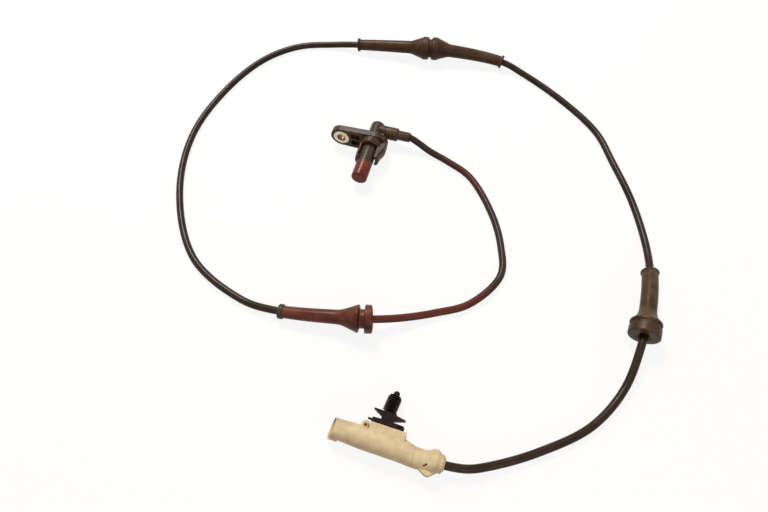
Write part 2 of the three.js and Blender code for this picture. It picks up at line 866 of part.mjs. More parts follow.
function buildHousing() {
  const barrel = dropped(turnedX([
    [0, mouthFront - 1],
    [mouthRadius, mouthFront - 1],
    [mouthRadius, 3],
    [barrelRadius, barrelStart],
    [barrelRadius, taperStart],
    [seamRadius, seamPlace],
    [0, seamPlace],
  ]));
  const spigot = rodX(spigotRadius, seamPlace - 1, housingEnd).translate(0, -wireDrop, 0);
  const bead = cut(
    solid(rodX(beadRadius, mouthFront - 1, beadLength)),
    block(mouthFront - 2, beadLength + 1, -beadRadius - 1, beadRadius + 1, beadTop, beadRadius + 1),
    block(mouthFront - 2, beadLength + 1, -beadSide, beadRadius + 1, -beadRadius - 1, beadRadius + 1),
  );
  const blockBody = block(
    blockStart,
    blockStart + blockLength,
    0,
    blockTop,
    -blockHalfHeight,
    blockHalfHeight,
  );
  const eye = rodY(eyeRadius, eyeLow, eyeHigh, sleeveSides).rotateX(Math.PI / 2);
  eye.translate(blockStart - eyeLead, blockTop - eyeDrop, 0);
  const eyeHole = rodY(eyeHoleRadius, eyeLow - 1, eyeHigh + 1, smallSides).rotateX(Math.PI / 2);
  eyeHole.translate(blockStart - eyeLead, blockTop - eyeDrop, 0);
  const slotFront = blockStart - eyeSlotLead;
  let housing = solid(barrel).add(solid(spigot)).add(bead).add(solid(blockBody)).add(solid(eye));
  housing = cut(
    housing,
    beyondRim(),
    eyeHole,
    rodX(socketRadius, mouthFront - 1, mouthDepth),
    block(
      clipPlace - keyLength / 2 - seatGap,
      clipPlace + keyLength / 2 + seatGap,
      blockTop - keyDepth - seatGap,
      blockTop + 1,
      -keyWidth / 2 - seatGap,
      keyWidth / 2 + seatGap,
    ),
    block(
      slotFront,
      slotFront + eyeSlotWidth,
      blockTop - eyeSlotDepth,
      blockTop + eyeRadius,
      eyeSlotLow,
      blockHalfHeight + 1,
    ),
  );
  for (const wire of wires) {
    const y = wireLevel(wire);
    housing = cut(
      housing,
      rodX(pinHoleRadius, mouthDepth - 1, mouthDepth + pinHoleRun, smallSides).translate(0, y, 0),
      rodX(cavityRadius, mouthDepth + 2, housingEnd + 1, smallSides).translate(0, y, 0),
    );
  }
  return housing;
}

addPiece(plug, 'plug_housing', buildHousing(), plugPlastic);

// Rear cap with a bulb, a side lug and a small slot
function buildCap() {
  const bulbEnd = capBulbPlace + capBulbLength;
  const bore = cableRadius + seatGap;
  const outside = dropped(turnedX([
    [0, capStart],
    [seamRadius, capStart],
    [capWaistRadius, capWaistPlace],
    [capNeckRadius, capNeckPlace],
    [capBulbRadius, capBulbPlace],
    [capBulbRadius, bulbEnd],
    [capNeckRadius, bulbEnd + capShoulder],
    [capEndRadius, plugLength],
    [0, plugLength],
  ]));
  const crestStart = lugPlace - lugCrest / 2;
  const crestEnd = lugPlace + lugCrest / 2;
  const lug = plateAcrossZ([
    [crestStart - lugFrontRun, -lugRoot],
    [crestStart, -lugReach],
    [crestEnd, -lugReach],
    [crestEnd + lugBackRun, -lugRoot],
  ], lugHalfHeight);
  const slot = rodY(capSlotWidth / 2, -capWall - 1, capWall, smallSides);
  slot.scale(capSlotLength / capSlotWidth, 1, 1).rotateY(capSlotTurn).rotateX(capSlotAngle);
  slot.translate(
    capSlotPlace,
    capNeckRadius * Math.cos(capSlotAngle) - dropAt(capSlotPlace),
    capNeckRadius * Math.sin(capSlotAngle),
  );
  return cut(
    union(outside, lug),
    slot,
    rodX(capInnerRadius, capStart - 1, plugLength - capEndWall).translate(0, -wireDrop, 0),
    turnedX([
      [0, capStart],
      [bore, capStart],
      [bore, plugLength - capEndWall],
      [bore + capFlare, plugLength + 0.1],
      [0, plugLength + 0.1],
    ]),
  );
}

addPiece(plug, 'plug_rear_cap', buildCap(), plugPlastic);

// Terminals, their lock, the mouth seal, wire seals and the cores behind them
const pinTip = mouthDepth - pinReach;
const terminalStart = mouthDepth + 2 + seatGap;
const terminalEnd = terminalStart + terminalLength;
const crimpEnd = terminalEnd + barrelCrimpLength;
const sealStart = housingEnd - sealLength;

function buildTerminal() {
  return turnedX([
    [0, pinTip],
    [pinRadius * 0.5, pinTip],
    [pinRadius, pinTip + 0.8],
    [pinRadius, terminalStart],
    [terminalRadius, terminalStart],
    [terminalRadius, terminalEnd],
    [barrelCrimpRadius, terminalEnd + 0.6],
    [barrelCrimpRadius, crimpEnd],
    [0, crimpEnd],
  ], smallSides);
}

function buildWireSeal() {
  const rib = barrelCrimpRadius;
  const bore = coreRadius + 0.1;
  const pitch = sealLength / 3;
  const profile = [[bore, sealStart]];
  for (let i = 0; i < 3; i += 1) {
    const start = sealStart + i * pitch;
    profile.push([rib, start], [rib, start + pitch * 0.5]);
    profile.push([rib - 0.3, start + pitch * 0.6], [rib - 0.3, start + pitch * 0.95]);
  }
  profile.push([bore, sealStart + 2.95 * pitch], [bore, sealStart]);
  return turnedX(profile, smallSides);
}

function plugCorePath(y, side) {
  const points = [
    [crimpEnd + seatGap, y],
    [sealStart + sealLength / 2, y],
    [housingEnd, y],
    [housingEnd + 2.4, (y + side * coreSpacing / 2) / 2],
    [sheathEnd - 1.6, side * coreSpacing * 0.45],
    [sheathEnd - seatGap, side * coreSpacing * 0.45],
  ];
  return new THREE.CatmullRomCurve3(points.map(([x, v]) => new THREE.Vector3(x, v, 0)), false, 'centripetal');
}

for (const wire of wires) {
  const y = wireLevel(wire);
  const core = tubeAlong(plugCorePath(y, wire.side), coreRadius, 8, 14);
  addPiece(plug, `terminal_${wire.name}`, buildTerminal().translate(0, y, 0), leadMetal);
  addPiece(plug, `wire_seal_${wire.name}`, buildWireSeal().translate(0, y, 0), sealRubber);
  addPiece(plug, `plug_core_${wire.name}`, core, wire.color);
}

function buildLock() {
  const low = mouthDepth - seatGap - lockThickness;
  const high = mouthDepth - seatGap;
  let lock = solid(rodX(socketRadius - seatGap, low, high));
  for (const wire of wires) {
    const pinHole = rodX(pinHoleRadius, low - 1, high + 1, smallSides);
    lock = cut(lock, pinHole.translate(0, wireLevel(wire), 0));
  }
  return lock;
}

addPiece(plug, 'terminal_lock', buildLock(), lockPlastic);

const mouthSealOuter = socketRadius - seatGap;
const mouthSealEnd = mouthDepth - lockThickness - 2 * seatGap;

addPiece(
  plug,
  'mouth_seal',
  ringX(mouthSealOuter, mouthSealOuter - mouthSealThickness, mouthSealEnd - mouthSealWidth, mouthSealEnd),
  sealRubber,
);

// Push-in clip: oval foot on the block, neck with two spring wings, finned stem
function footOutline(length, width) {
  const straight = (length - width) / 2;
  const outline = new THREE.Shape();
  outline.absarc(straight, 0, width / 2, -Math.PI / 2, Math.PI / 2, false);
  outline.absarc(-straight, 0, width / 2, Math.PI / 2, 1.5 * Math.PI, false);
  return outline;
}

function buildClip() {
  const foot = plateAcrossY(footOutline(footLength, footWidth), 0, footThickness);
  const nib = rodX(nibRadius, -footLength / 2 - nibReach, -footLength / 2 + 1, smallSides);
  nib.translate(0, footThickness - nibRadius, 0);
  const key = block(-keyLength / 2, keyLength / 2, -keyDepth - seatGap, 0.5, -keyWidth / 2, keyWidth / 2);
  const lips = [-1, 1].map((side) => block(
    side * (footLength / 2 - 1.6) - 0.9,
    side * (footLength / 2 - 1.6) + 0.9,
    footThickness - 0.5,
    footThickness + footLip,
    -footWidth / 4,
    footWidth / 4,
  ));
  const neck = block(
    -neckHalfLength,
    neckHalfLength,
    footThickness / 2,
    neckLength,
    -neckHalfWidth,
    neckHalfWidth,
  );
  const wings = [-1, 1].map((side) => plateAcrossZ([
    [side * (neckHalfLength - 0.6), clipWingLow],
    [side * neckHalfLength, clipWingLow],
    [side * clipWingReach, clipWingTip - clipWingThickness],
    [side * clipWingReach, clipWingTip],
    [side * neckHalfLength, clipWingHigh],
    [side * (neckHalfLength - 0.6), clipWingHigh],
  ], clipWingHalfWidth));
  const stem = [[0, neckLength - 1], [stemRadius, neckLength - 1]];
  for (let i = 0; i < finCount; i += 1) {
    const level = neckLength + 0.4 + i * finPitch;
    const reach = i === finCount - 1 ? finRadius * 0.85 : finRadius;
    stem.push([stemRadius, level]);
    stem.push([reach, level + 0.15]);
    stem.push([reach, level + 0.45]);
    stem.push([stemRadius, level + 0.95]);
  }
  const stemEnd = neckLength + 0.4 + finCount * finPitch;
  stem.push([tipRadius, stemEnd]);
  stem.push([tipRadius, stemEnd + tipLength - tipRadius]);
  stem.push([tipRadius * 0.87, stemEnd + tipLength - tipRadius * 0.5]);
  stem.push([tipRadius * 0.5, stemEnd + tipLength - tipRadius * 0.13]);
  stem.push([0, stemEnd + tipLength]);
  const upper = [neck, ...wings, turned(stem, 16).translate(-stemSetback, 0, 0)];
  for (const form of upper) {
    form.rotateZ(neckLean).translate(-neckSetback, 0, 0);
  }
  return union(foot, key, nib, ...lips, ...upper);
}

const clip = new THREE.Group();
clip.position.set(clipPlace, blockTop + seatGap, 0);
plug.add(clip);
addPiece(clip, 'push_in_clip', buildClip(), clipPlastic);

export default group;
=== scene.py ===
# Wheel speed sensor, lying as in the photograph, with its cable, grommets, plug and clip.
# Shapes are built in millimetres and turned into metres when a piece is finished.
import bpy
import bmesh
import json
from math import acos, ceil, cos, pi, radians, sin
from mathutils import Matrix, Vector
from types import SimpleNamespace


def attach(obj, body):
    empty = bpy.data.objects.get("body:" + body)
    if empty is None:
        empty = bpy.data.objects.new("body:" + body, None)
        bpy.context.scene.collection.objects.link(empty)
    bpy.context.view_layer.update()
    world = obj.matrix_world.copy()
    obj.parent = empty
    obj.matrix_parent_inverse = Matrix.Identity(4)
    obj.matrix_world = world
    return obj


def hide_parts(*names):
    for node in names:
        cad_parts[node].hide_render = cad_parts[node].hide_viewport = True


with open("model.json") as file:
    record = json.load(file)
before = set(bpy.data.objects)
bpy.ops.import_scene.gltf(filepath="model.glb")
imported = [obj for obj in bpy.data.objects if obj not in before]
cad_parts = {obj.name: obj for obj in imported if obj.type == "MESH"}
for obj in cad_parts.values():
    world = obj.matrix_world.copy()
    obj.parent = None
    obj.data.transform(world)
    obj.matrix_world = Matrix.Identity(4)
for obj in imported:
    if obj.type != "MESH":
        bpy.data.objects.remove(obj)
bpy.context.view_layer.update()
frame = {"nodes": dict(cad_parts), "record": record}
mm = 0.001  # a millimetre in metres
nodes = frame["nodes"]


def linked(name, data):
    item = bpy.data.objects.new(name, data)
    bpy.context.scene.collection.objects.link(item)
    return item


# Camera, at the photograph's angle and distance
cameraValues = {
    "target": (45.6, -82.25, 0.0), "azimuth": 15.8, "elevation": 60.0, "distance": 428.0,
    "lens": 28.125, "sensorWidth": 36.0, "clipStart": 0.01,
}


def makeCamera(values):
    turn = radians(values["azimuth"])
    rise = radians(values["elevation"])
    level = cos(rise)
    back = Vector((sin(turn) * level, -cos(turn) * level, sin(rise)))
    data = bpy.data.cameras.new("photoCamera")
    data.lens = values["lens"]
    data.sensor_width = values["sensorWidth"]
    data.clip_start = values["clipStart"]
    camera = linked("photoCamera", data)
    camera.location = (Vector(values["target"]) + back * values["distance"]) * mm
    camera.rotation_euler = (-back).to_track_quat("-Z", "Y").to_euler()
    bpy.context.scene.camera = camera


makeCamera(cameraValues)
print("camera made")


# The cable's way, with the same points as the solid model
headPlace = Vector((10.5, 6.75, 9.75))
plugPlace = Vector((48.8, -208.9, 7.3))
plugTurn = radians(-2.6)
cableValues = {
    "radius": 2.6, "edge": 0.2, "sides": 28, "step": 1.6, "stepsPerSpan": 24, "lieHeight": 2.65,
    "sheathFromOutlet": 10.0, "reliefEnd": 27.0, "outletHeight": 14.1, "plugLength": 70.4,
    "sheathEnd": 66.1,
}
cableWay = [
    (45.5, 19.2, 7.2), (55, 16.4, 4.2), (71, 11.2, 2.8), (90, 1.5, 2.65), (112.7, -27.6, 2.65),
    (124.4, -54, 2.65), (128.2, -77, 2.65), (112, -104, 2.65), (91.1, -117, 3), (70, -128.2, 6),
    (52, -136.1, 10.1), (38, -139, 9.9), (-11, -145.2, 5.2), (-38, -143, 2.65),
    (-82.6, -122.4, 2.65), (-118, -71, 2.65), (-132.2, -14.4, 2.65), (-124.2, 42.3, 2.65),
    (-107, 80.5, 2.65), (-84, 102.3, 2.65), (-56, 112, 3.3), (-32.2, 115.2, 6.1), (18, 121.2, 9.8),
    (42, 124.9, 9.8), (91.6, 127.9, 6.1), (112, 121.6, 3.3), (145.4, 101.8, 2.65),
    (178.3, 73.5, 2.65), (194.1, 46, 2.65), (213, 8, 2.65), (225.2, -34, 4.8), (226.6, -62, 9),
    (224.8, -94, 11.4), (223.4, -106, 11), (217.2, -136, 4.4), (200, -165, 2.65),
    (170.3, -189.4, 2.65), (145, -204.6, 3.9), (132, -210.4, 6.4),
]


def plugPoint(along):
    return plugPlace + Vector((along * cos(plugTurn), along * sin(plugTurn), 0))


def between(start, end, low, high, value):
    return start + (end - start) * ((value - low) / (high - low))


def smoothSpan(a, b, c, d, share):
    # the knots lie by the root of each distance, which keeps the line free of loops
    knots = [0.0]
    for start, end in ((a, b), (b, c), (c, d)):
        knots.append(knots[-1] + max((end - start).length, 1e-4) ** 0.5)
    t = knots[1] + (knots[2] - knots[1]) * share
    ab = between(a, b, knots[0], knots[1], t)
    bc = between(b, c, knots[1], knots[2], t)
    cd = between(c, d, knots[2], knots[3], t)
    left = between(ab, bc, knots[0], knots[2], t)
    right = between(bc, cd, knots[1], knots[3], t)
    return between(left, right, knots[1], knots[2], t)


def smoothRoute(points, stepsPerSpan):
    row = [points[0] * 2 - points[1], *points, points[-1] * 2 - points[-2]]
    line = []
    for i in range(len(points) - 1):
        for k in range(stepsPerSpan):
            line.append(smoothSpan(*row[i:i + 4], k / stepsPerSpan))
    return [*line, points[-1]]


def spacedRoute(line, spacing):
    total = sum((b - a).length for a, b in zip(line, line[1:]))
    count = round(total / spacing)
    gap = total / count
    spaced = [line[0]]
    walked = 0.0
    for a, b in zip(line, line[1:]):
        reach = (b - a).length
        while len(spaced) < count and walked + reach >= gap * len(spaced):
            spaced.append(a.lerp(b, (gap * len(spaced) - walked) / reach))
        walked += reach
    return [*spaced, line[-1]], total


outletPoint = headPlace + Vector((0, cableValues["outletHeight"], 0))
routePoints = [
    outletPoint + Vector((cableValues["sheathFromOutlet"], 0, 0)),
    outletPoint + Vector((cableValues["reliefEnd"], 0, 0)),
    *[Vector(point) for point in cableWay],
    plugPoint(cableValues["plugLength"]),
    plugPoint(cableValues["sheathEnd"]),
]
routeLine = smoothRoute(routePoints, cableValues["stepsPerSpan"])
for point in routeLine:
    point.z = max(point.z, cableValues["lieHeight"])
route, routeLength = spacedRoute(routeLine, cableValues["step"])
print("cable way made, length", round(routeLength, 1))


# Shader nodes
def linear(colour):
    shares = [value / 255 for value in colour]
    return [s / 12.92 if s <= 0.04045 else ((s + 0.055) / 1.055) ** 2.4 for s in shares] + [1.0]


class nodeWriter:
    def __init__(self, tree):
        self.tree = tree

    def fill(self, node, inputs):
        for name, value in inputs.items():
            socket = node.inputs[name]
            if isinstance(value, bpy.types.NodeSocket):
                self.tree.links.new(value, socket)
            else:
                socket.default_value = value
        return node

    def add(self, kind, inputs=None, **settings):
        node = self.tree.nodes.new(kind)
        for name, value in settings.items():
            setattr(node, name, value)
        return self.fill(node, inputs or {})

    def out(self, kind, inputs=None, **settings):
        return self.add(kind, inputs, **settings).outputs[0]

    def math(self, operation, first, second=0.0, clamp=False):
        inputs = {0: first, 1: second}
        return self.out("ShaderNodeMath", inputs, operation=operation, use_clamp=clamp)

    def times(self, first, second):
        return self.math("MULTIPLY", first, second)

    def vector(self, operation, first, second=(0.0, 0.0, 0.0)):
        node = self.add("ShaderNodeVectorMath", {0: first, 1: second}, operation=operation)
        return node.outputs["Value" if operation in ("DOT_PRODUCT", "LENGTH") else "Vector"]

    def scaled(self, vector, amount):
        inputs = {0: vector, "Scale": amount}
        return self.out("ShaderNodeVectorMath", inputs, operation="SCALE")

    def part(self, vector, axis):
        return self.add("ShaderNodeSeparateXYZ", {0: vector}).outputs[axis]

    def noise(self, vector, size, detail=3.0, roughness=0.55):
        inputs = {"Vector": vector, "Scale": 1 / size, "Detail": detail, "Roughness": roughness}
        return self.add("ShaderNodeTexNoise", inputs).outputs["Fac"]

    def spread(self, value, low, high, toLow=0.0, toHigh=1.0):
        inputs = {"Value": value, "From Min": low, "From Max": high, "To Min": toLow, "To Max": toHigh}
        return self.out("ShaderNodeMapRange", inputs, clamp=True)

    def mix(self, share, first, second, blend="MIX"):
        inputs = {0: share, 6: first, 7: second}
        return self.add("ShaderNodeMix", inputs, data_type="RGBA", blend_type=blend).outputs[2]


# What a look has unless it says otherwise: sizes of noises in millimetres, limits as shares of them
plainLook = {
    "dark": (60, 50, 40), "light": (80, 66, 54), "patch": 6.0, "patchLimits": (0.36, 0.64),
    "grain": 0.35, "grainLimits": (0.3, 0.7), "grainAmount": 0.12, "rough": (0.38, 0.55), "bump": 0.02,
    "scratch": 0.25, "scratchLimits": (0.6, 0.72), "scratchStretch": (0.25, 2.2, 2.2),
    "scratchPale": 0.35, "scratchRough": 0.3, "scratchDepth": 0.8,
    "dust": (190, 175, 160), "dustAmount": 0.1, "dustPatch": 9.0, "dustLimits": (0.45, 0.75),
    "dustUp": (0.2, 1.0), "dustRough": 0.5, "wear": (150, 130, 110), "wearAmount": 0.2,
    "wearEdge": (0.53, 0.62), "wearPatch": 2.0, "wearLimits": (0.35, 0.6), "metallic": 0.0,
    "specular": 0.15, "coat": 0.0, "coatRough": 0.2, "laidOut": False, "seam": None, "seamRise": 3.0,
    "fades": (), "fadePatch": 5.0, "inside": None, "insideEdge": 0.25,
}


def fadeColour(pen, place, look, fade, colour):
    # another colour beyond a wavy line, and up to a second one where the look gives it
    waves = pen.times(pen.noise(place, look.fadePatch), fade["wave"])
    wavy = pen.math("ADD", pen.part(place, fade["axis"]), waves)
    share = pen.spread(wavy, fade["low"], fade["high"])
    if "until" in fade:
        first, last = fade["until"]
        share = pen.times(share, pen.spread(wavy, last, first))
    return pen.mix(share, colour, linear(fade["colour"]))


def insideShadeColour(pen, place, edge, hole, colour):
    # painted shade: darker within a radius of an axis, from one distance along it to another, where
    # shade falls inside a hole or mouth
    away = pen.vector("SUBTRACT", place, hole["origin"])
    along = pen.vector("DOT_PRODUCT", away, hole["axis"])
    rest = pen.vector("SUBTRACT", away, pen.scaled(hole["axis"], along))
    radius = pen.vector("LENGTH", rest)
    share = pen.spread(radius, hole["radius"] + edge, hole["radius"])
    share = pen.times(share, pen.spread(along, hole["low"], hole["high"]))
    share = pen.times(share, pen.spread(along, hole["end"] + 2 * edge, hole["end"]))
    return pen.mix(share, colour, linear(hole["colour"]))


def makeMaterial(name, **changes):
    look = SimpleNamespace(**{**plainLook, **changes})
    material = bpy.data.materials.new(name)
    material.use_nodes = True
    pen = nodeWriter(material.node_tree)
    if look.laidOut:
        source = pen.add("ShaderNodeAttribute", attribute_name="laidOut").outputs["Vector"]
    else:
        source = pen.add("ShaderNodeTexCoord").outputs["Object"]
    place = pen.scaled(source, 1 / mm)
    geometry = pen.add("ShaderNodeNewGeometry").outputs
    # broad patches and fine grain in the colour
    patch = pen.spread(pen.noise(place, look.patch), *look.patchLimits)
    colour = pen.mix(patch, linear(look.dark), linear(look.light))
    grain = pen.noise(place, look.grain, 5.0, 0.65)
    amount = look.grainAmount
    shade = pen.spread(grain, *look.grainLimits, 1 - amount, 1 + amount)
    grey = pen.out("ShaderNodeCombineColor", {0: shade, 1: shade, 2: shade})
    colour = pen.mix(1.0, colour, grey, "MULTIPLY")
    for fade in look.fades:
        colour = fadeColour(pen, place, look, fade, colour)
    # painted shade inside a hole or mouth
    if look.inside:
        colour = insideShadeColour(pen, place, look.insideEdge, look.inside, colour)
    # fine scratches drawn out along the piece
    lines = pen.noise(pen.vector("MULTIPLY", place, look.scratchStretch), 1.0, 4.0, 0.7)
    scratch = pen.times(pen.spread(lines, *look.scratchLimits), look.scratch)
    # dust where the surface faces up, and paler edges where it rubs; on the sensor body these pale
    # edges are also a painted highlight
    up = pen.spread(pen.part(geometry["Normal"], "Z"), *look.dustUp)
    cloud = pen.spread(pen.noise(place, look.dustPatch, 5.0), *look.dustLimits)
    dust = pen.times(pen.times(cloud, up), look.dustAmount)
    colour = pen.mix(dust, colour, linear(look.dust))
    edge = pen.spread(geometry["Pointiness"], *look.wearEdge)
    wornAndSheen = pen.spread(pen.noise(place, look.wearPatch), *look.wearLimits)
    rubbedAndSheen = pen.times(pen.times(edge, wornAndSheen), look.wearAmount)
    for share in (rubbedAndSheen, pen.times(scratch, look.scratchPale)):
        colour = pen.mix(share, colour, linear(look.wear))
    rough = pen.noise(place, look.patch * 0.6, 4.0)
    rough = pen.spread(rough, *look.grainLimits, *look.rough)
    rough = pen.math("ADD", rough, pen.times(scratch, look.scratchRough), True)
    rough = pen.math("ADD", rough, pen.times(dust, look.dustRough), True)
    height = pen.math("SUBTRACT", grain, pen.times(scratch, look.scratchDepth))
    if look.seam:
        seam = look.seam
        away = pen.math("SUBTRACT", pen.part(place, seam["axis"]), seam["at"])
        ridge = pen.spread(pen.math("ABSOLUTE", away), seam["width"], 0.0)
        height = pen.math("ADD", height, pen.times(ridge, look.seamRise))
    inputs = {"Height": height, "Strength": 1.0, "Distance": look.bump * mm}
    bump = pen.out("ShaderNodeBump", inputs)
    pen.fill(material.node_tree.nodes["Principled BSDF"], {
        "Base Color": colour, "Roughness": rough, "Normal": bump, "Metallic": look.metallic,
        "Specular IOR Level": look.specular, "Coat Weight": look.coat,
        "Coat Roughness": look.coatRough,
    })
    return material


# Shapes as lists of points and faces: turned about X, plates and blocks
def both(reach):
    return -reach, reach


def sizesOf(values):
    return SimpleNamespace(**values)


def roundCorners(points, steps, closed=True):
    # a corner's third value is how far its rounding reaches
    rounded = []
    count = len(points)
    for i, corner in enumerate(points):
        if not closed and i in (0, count - 1):
            rounded.append(corner)
            continue
        here = Vector(corner[:2])
        before = Vector(points[i - 1][:2]) - here
        after = Vector(points[(i + 1) % count][:2]) - here
        rounding = corner[2] if len(corner) > 2 else 0.0
        reach = min(rounding, before.length * 0.45, after.length * 0.45)
        if reach < 1e-3:
            rounded.append(tuple(here))
            continue
        first = here + before.normalized() * reach
        last = here + after.normalized() * reach
        for k in range(steps + 1):
            t = k / steps
            point = first * (1 - t) ** 2 + here * 2 * t * (1 - t) + last * t ** 2
            rounded.append(tuple(point))
    return rounded


def densePoints(points, step, closed=True):
    dense = []
    for a, b in zip(points, points[1:] + (points[:1] if closed else [])):
        start, end = Vector(a), Vector(b)
        count = max(1, ceil((end - start).length / step))
        dense.extend(tuple(start.lerp(end, k / count)) for k in range(count))
    if not closed:
        dense.append(points[-1])
    return dense


def turned(profile, sides=96):
    # a closed profile makes a ring; one that starts and ends on the axis makes a full body
    points, rings = [], []
    for along, radius in profile:
        if radius <= 1e-6:
            rings.append([len(points)] * sides)
            points.append(Vector((along, 0, 0)))
            continue
        rings.append(list(range(len(points), len(points) + sides)))
        for k in range(sides):
            angle = 2 * pi * k / sides
            points.append(Vector((along, radius * cos(angle), radius * sin(angle))))
    pairs = list(zip(rings, rings[1:]))
    if profile[0][1] > 1e-6:
        pairs.append((rings[-1], rings[0]))
    faces = []
    for a, b in pairs:
        for k in range(sides):
            after = (k + 1) % sides
            face = [a[k], a[after], b[after], b[k]]
            face = [v for j, v in enumerate(face) if v != face[j - 1]]
            if len(face) > 2:
                faces.append(face)
    return points, faces


def rod(radius, low, high, sides=96):
    return turned([(low, 0), (low, radius), (high, radius), (high, 0)], sides)


def arcPoints(centre, radius, start, end, steps):
    angles = [start + (end - start) * k / steps for k in range(steps + 1)]
    return [(centre + radius * cos(angle), radius * sin(angle)) for angle in angles]


def domePoints(start, height, radius, steps):
    # from the full radius down to the axis
    angles = [k / steps * pi / 2 for k in range(steps)]
    points = [(start + height * sin(angle), radius * cos(angle)) for angle in angles]
    return [*points, (start + height, 0)]


def plate(outline, low, high):
    count = len(outline)
    points = [Vector((x, y, level)) for level in (low, high) for x, y in outline]
    faces = [list(range(count)), list(range(count, 2 * count))[::-1]]
    for k in range(count):
        after = (k + 1) % count
        faces.append([k, k + count, after + count, after])
    return points, faces


def block(x, y, z):
    return plate([(x[0], y[0]), (x[1], y[0]), (x[1], y[1]), (x[0], y[1])], *z)


def moved(shape, change):
    points, faces = shape
    return [change(point) for point in points], faces


def shifted(shape, x=0.0, y=0.0, z=0.0):
    return moved(shape, lambda p: p + Vector((x, y, z)))


def alongY(shape):
    return moved(shape, lambda p: Vector((-p.y, p.x, p.z)))


def acrossY(shape):
    # a plate drawn in X and Z
    return moved(shape, lambda p: Vector((p.x, p.z, p.y)))


def alongZ(shape):
    return moved(shape, lambda p: Vector((p.y, p.z, p.x)))


def inHead(point):
    return point + headPlace


def inPlug(point):
    return Matrix.Rotation(plugTurn, 3, "Z") @ point + plugPlace


# Meshes and pieces
past = 1.0  # how far a joined or cutting shape runs past a face
softValues = {"factor": 0.5, "steps": 3, "keptFaces": 0.5, "sharpAngle": 40.0}


def makeObject(name, shape):
    mesh = bpy.data.meshes.new(name)
    mesh.from_pydata([tuple(point) for point in shape[0]], [], shape[1])
    work = bmesh.new()
    work.from_mesh(mesh)
    bmesh.ops.recalc_face_normals(work, faces=work.faces)
    if work.calc_volume(signed=True) < 0:
        bmesh.ops.reverse_faces(work, faces=work.faces)
    work.to_mesh(mesh)
    work.free()
    return linked(name, mesh)


def settle(item):
    # works the modifiers into the mesh
    graph = bpy.context.evaluated_depsgraph_get()
    shown = item.evaluated_get(graph)
    old = item.data
    mesh = bpy.data.meshes.new_from_object(shown, preserve_all_data_layers=True, depsgraph=graph)
    item.modifiers.clear()
    item.data = mesh
    bpy.data.meshes.remove(old)
    return item


def addTool(item, shape, operation):
    tool = makeObject(item.name + "Tool", shape)
    tool.hide_render = True
    modifier = item.modifiers.new("join", "BOOLEAN")
    modifier.operation = operation
    modifier.solver = "EXACT"
    modifier.object = tool
    return tool


def discard(items):
    for item in items:
        mesh = item.data
        bpy.data.objects.remove(item)
        bpy.data.meshes.remove(mesh)


def fuse(name, adds, cuts, voxel):
    # joins and cuts the shapes, then remeshes them finely so that every edge is softly rounded
    item = makeObject(name, adds[0])
    tools = [addTool(item, shape, "UNION") for shape in adds[1:]]
    tools += [addTool(item, shape, "DIFFERENCE") for shape in cuts]
    remesh = item.modifiers.new("fine", "REMESH")
    remesh.mode = "VOXEL"
    remesh.voxel_size = voxel
    smooth = item.modifiers.new("soft", "SMOOTH")
    smooth.factor = softValues["factor"]
    smooth.iterations = softValues["steps"]
    item.modifiers.new("fewer", "DECIMATE").ratio = softValues["keptFaces"]
    settle(item)
    discard(tools)
    return item


def crossing(first, second):
    # the part that two shapes share
    item = makeObject("crossing", first)
    tool = addTool(item, second, "INTERSECT")
    mesh = settle(item).data
    points = [vertex.co.copy() for vertex in mesh.vertices]
    faces = [list(polygon.vertices) for polygon in mesh.polygons]
    discard([item, tool])
    return points, faces


def finishPiece(item, change, material, slot, *replaced):
    mesh = item.data
    for vertex in mesh.vertices:
        vertex.co = change(vertex.co.copy()) * mm
    mesh.update()
    mesh.polygons.foreach_set("use_smooth", [True] * len(mesh.polygons))
    mesh.set_sharp_from_angle(angle=radians(softValues["sharpAngle"]))
    mesh.materials.clear()
    mesh.materials.append(material)
    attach(item, "root")
    if replaced:
        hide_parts(*replaced)
    return item


def addPiece(name, shape, *finish):
    return finishPiece(makeObject(name, shape), *finish)


# Geometry Nodes trees with named inputs
def makeTree(name, inputs):
    tree = bpy.data.node_groups.new(name, "GeometryNodeTree")
    for way in ("INPUT", "OUTPUT"):
        tree.interface.new_socket("Geometry", in_out=way, socket_type="NodeSocketGeometry")
    for label, kind in inputs.items():
        tree.interface.new_socket(label, in_out="INPUT", socket_type="NodeSocket" + kind)
    pen = nodeWriter(tree)
    given = pen.add("NodeGroupInput").outputs
    return tree, pen, given


def closeTree(pen, geometry, given):
    real = pen.out("GeometryNodeRealizeInstances", {"Geometry": geometry})
    dressed = {"Geometry": real, "Material": given["Material"]}
    done = pen.out("GeometryNodeSetMaterial", dressed)
    pen.add("NodeGroupOutput", {"Geometry": done})


def runTree(item, tree, values):
    modifier = item.modifiers.new("tree", "NODES")
    modifier.node_group = tree
    for socket in tree.interface.items_tree:
        if socket.in_out == "INPUT" and socket.name in values:
            modifier[socket.identifier] = values[socket.name]
    return settle(item)


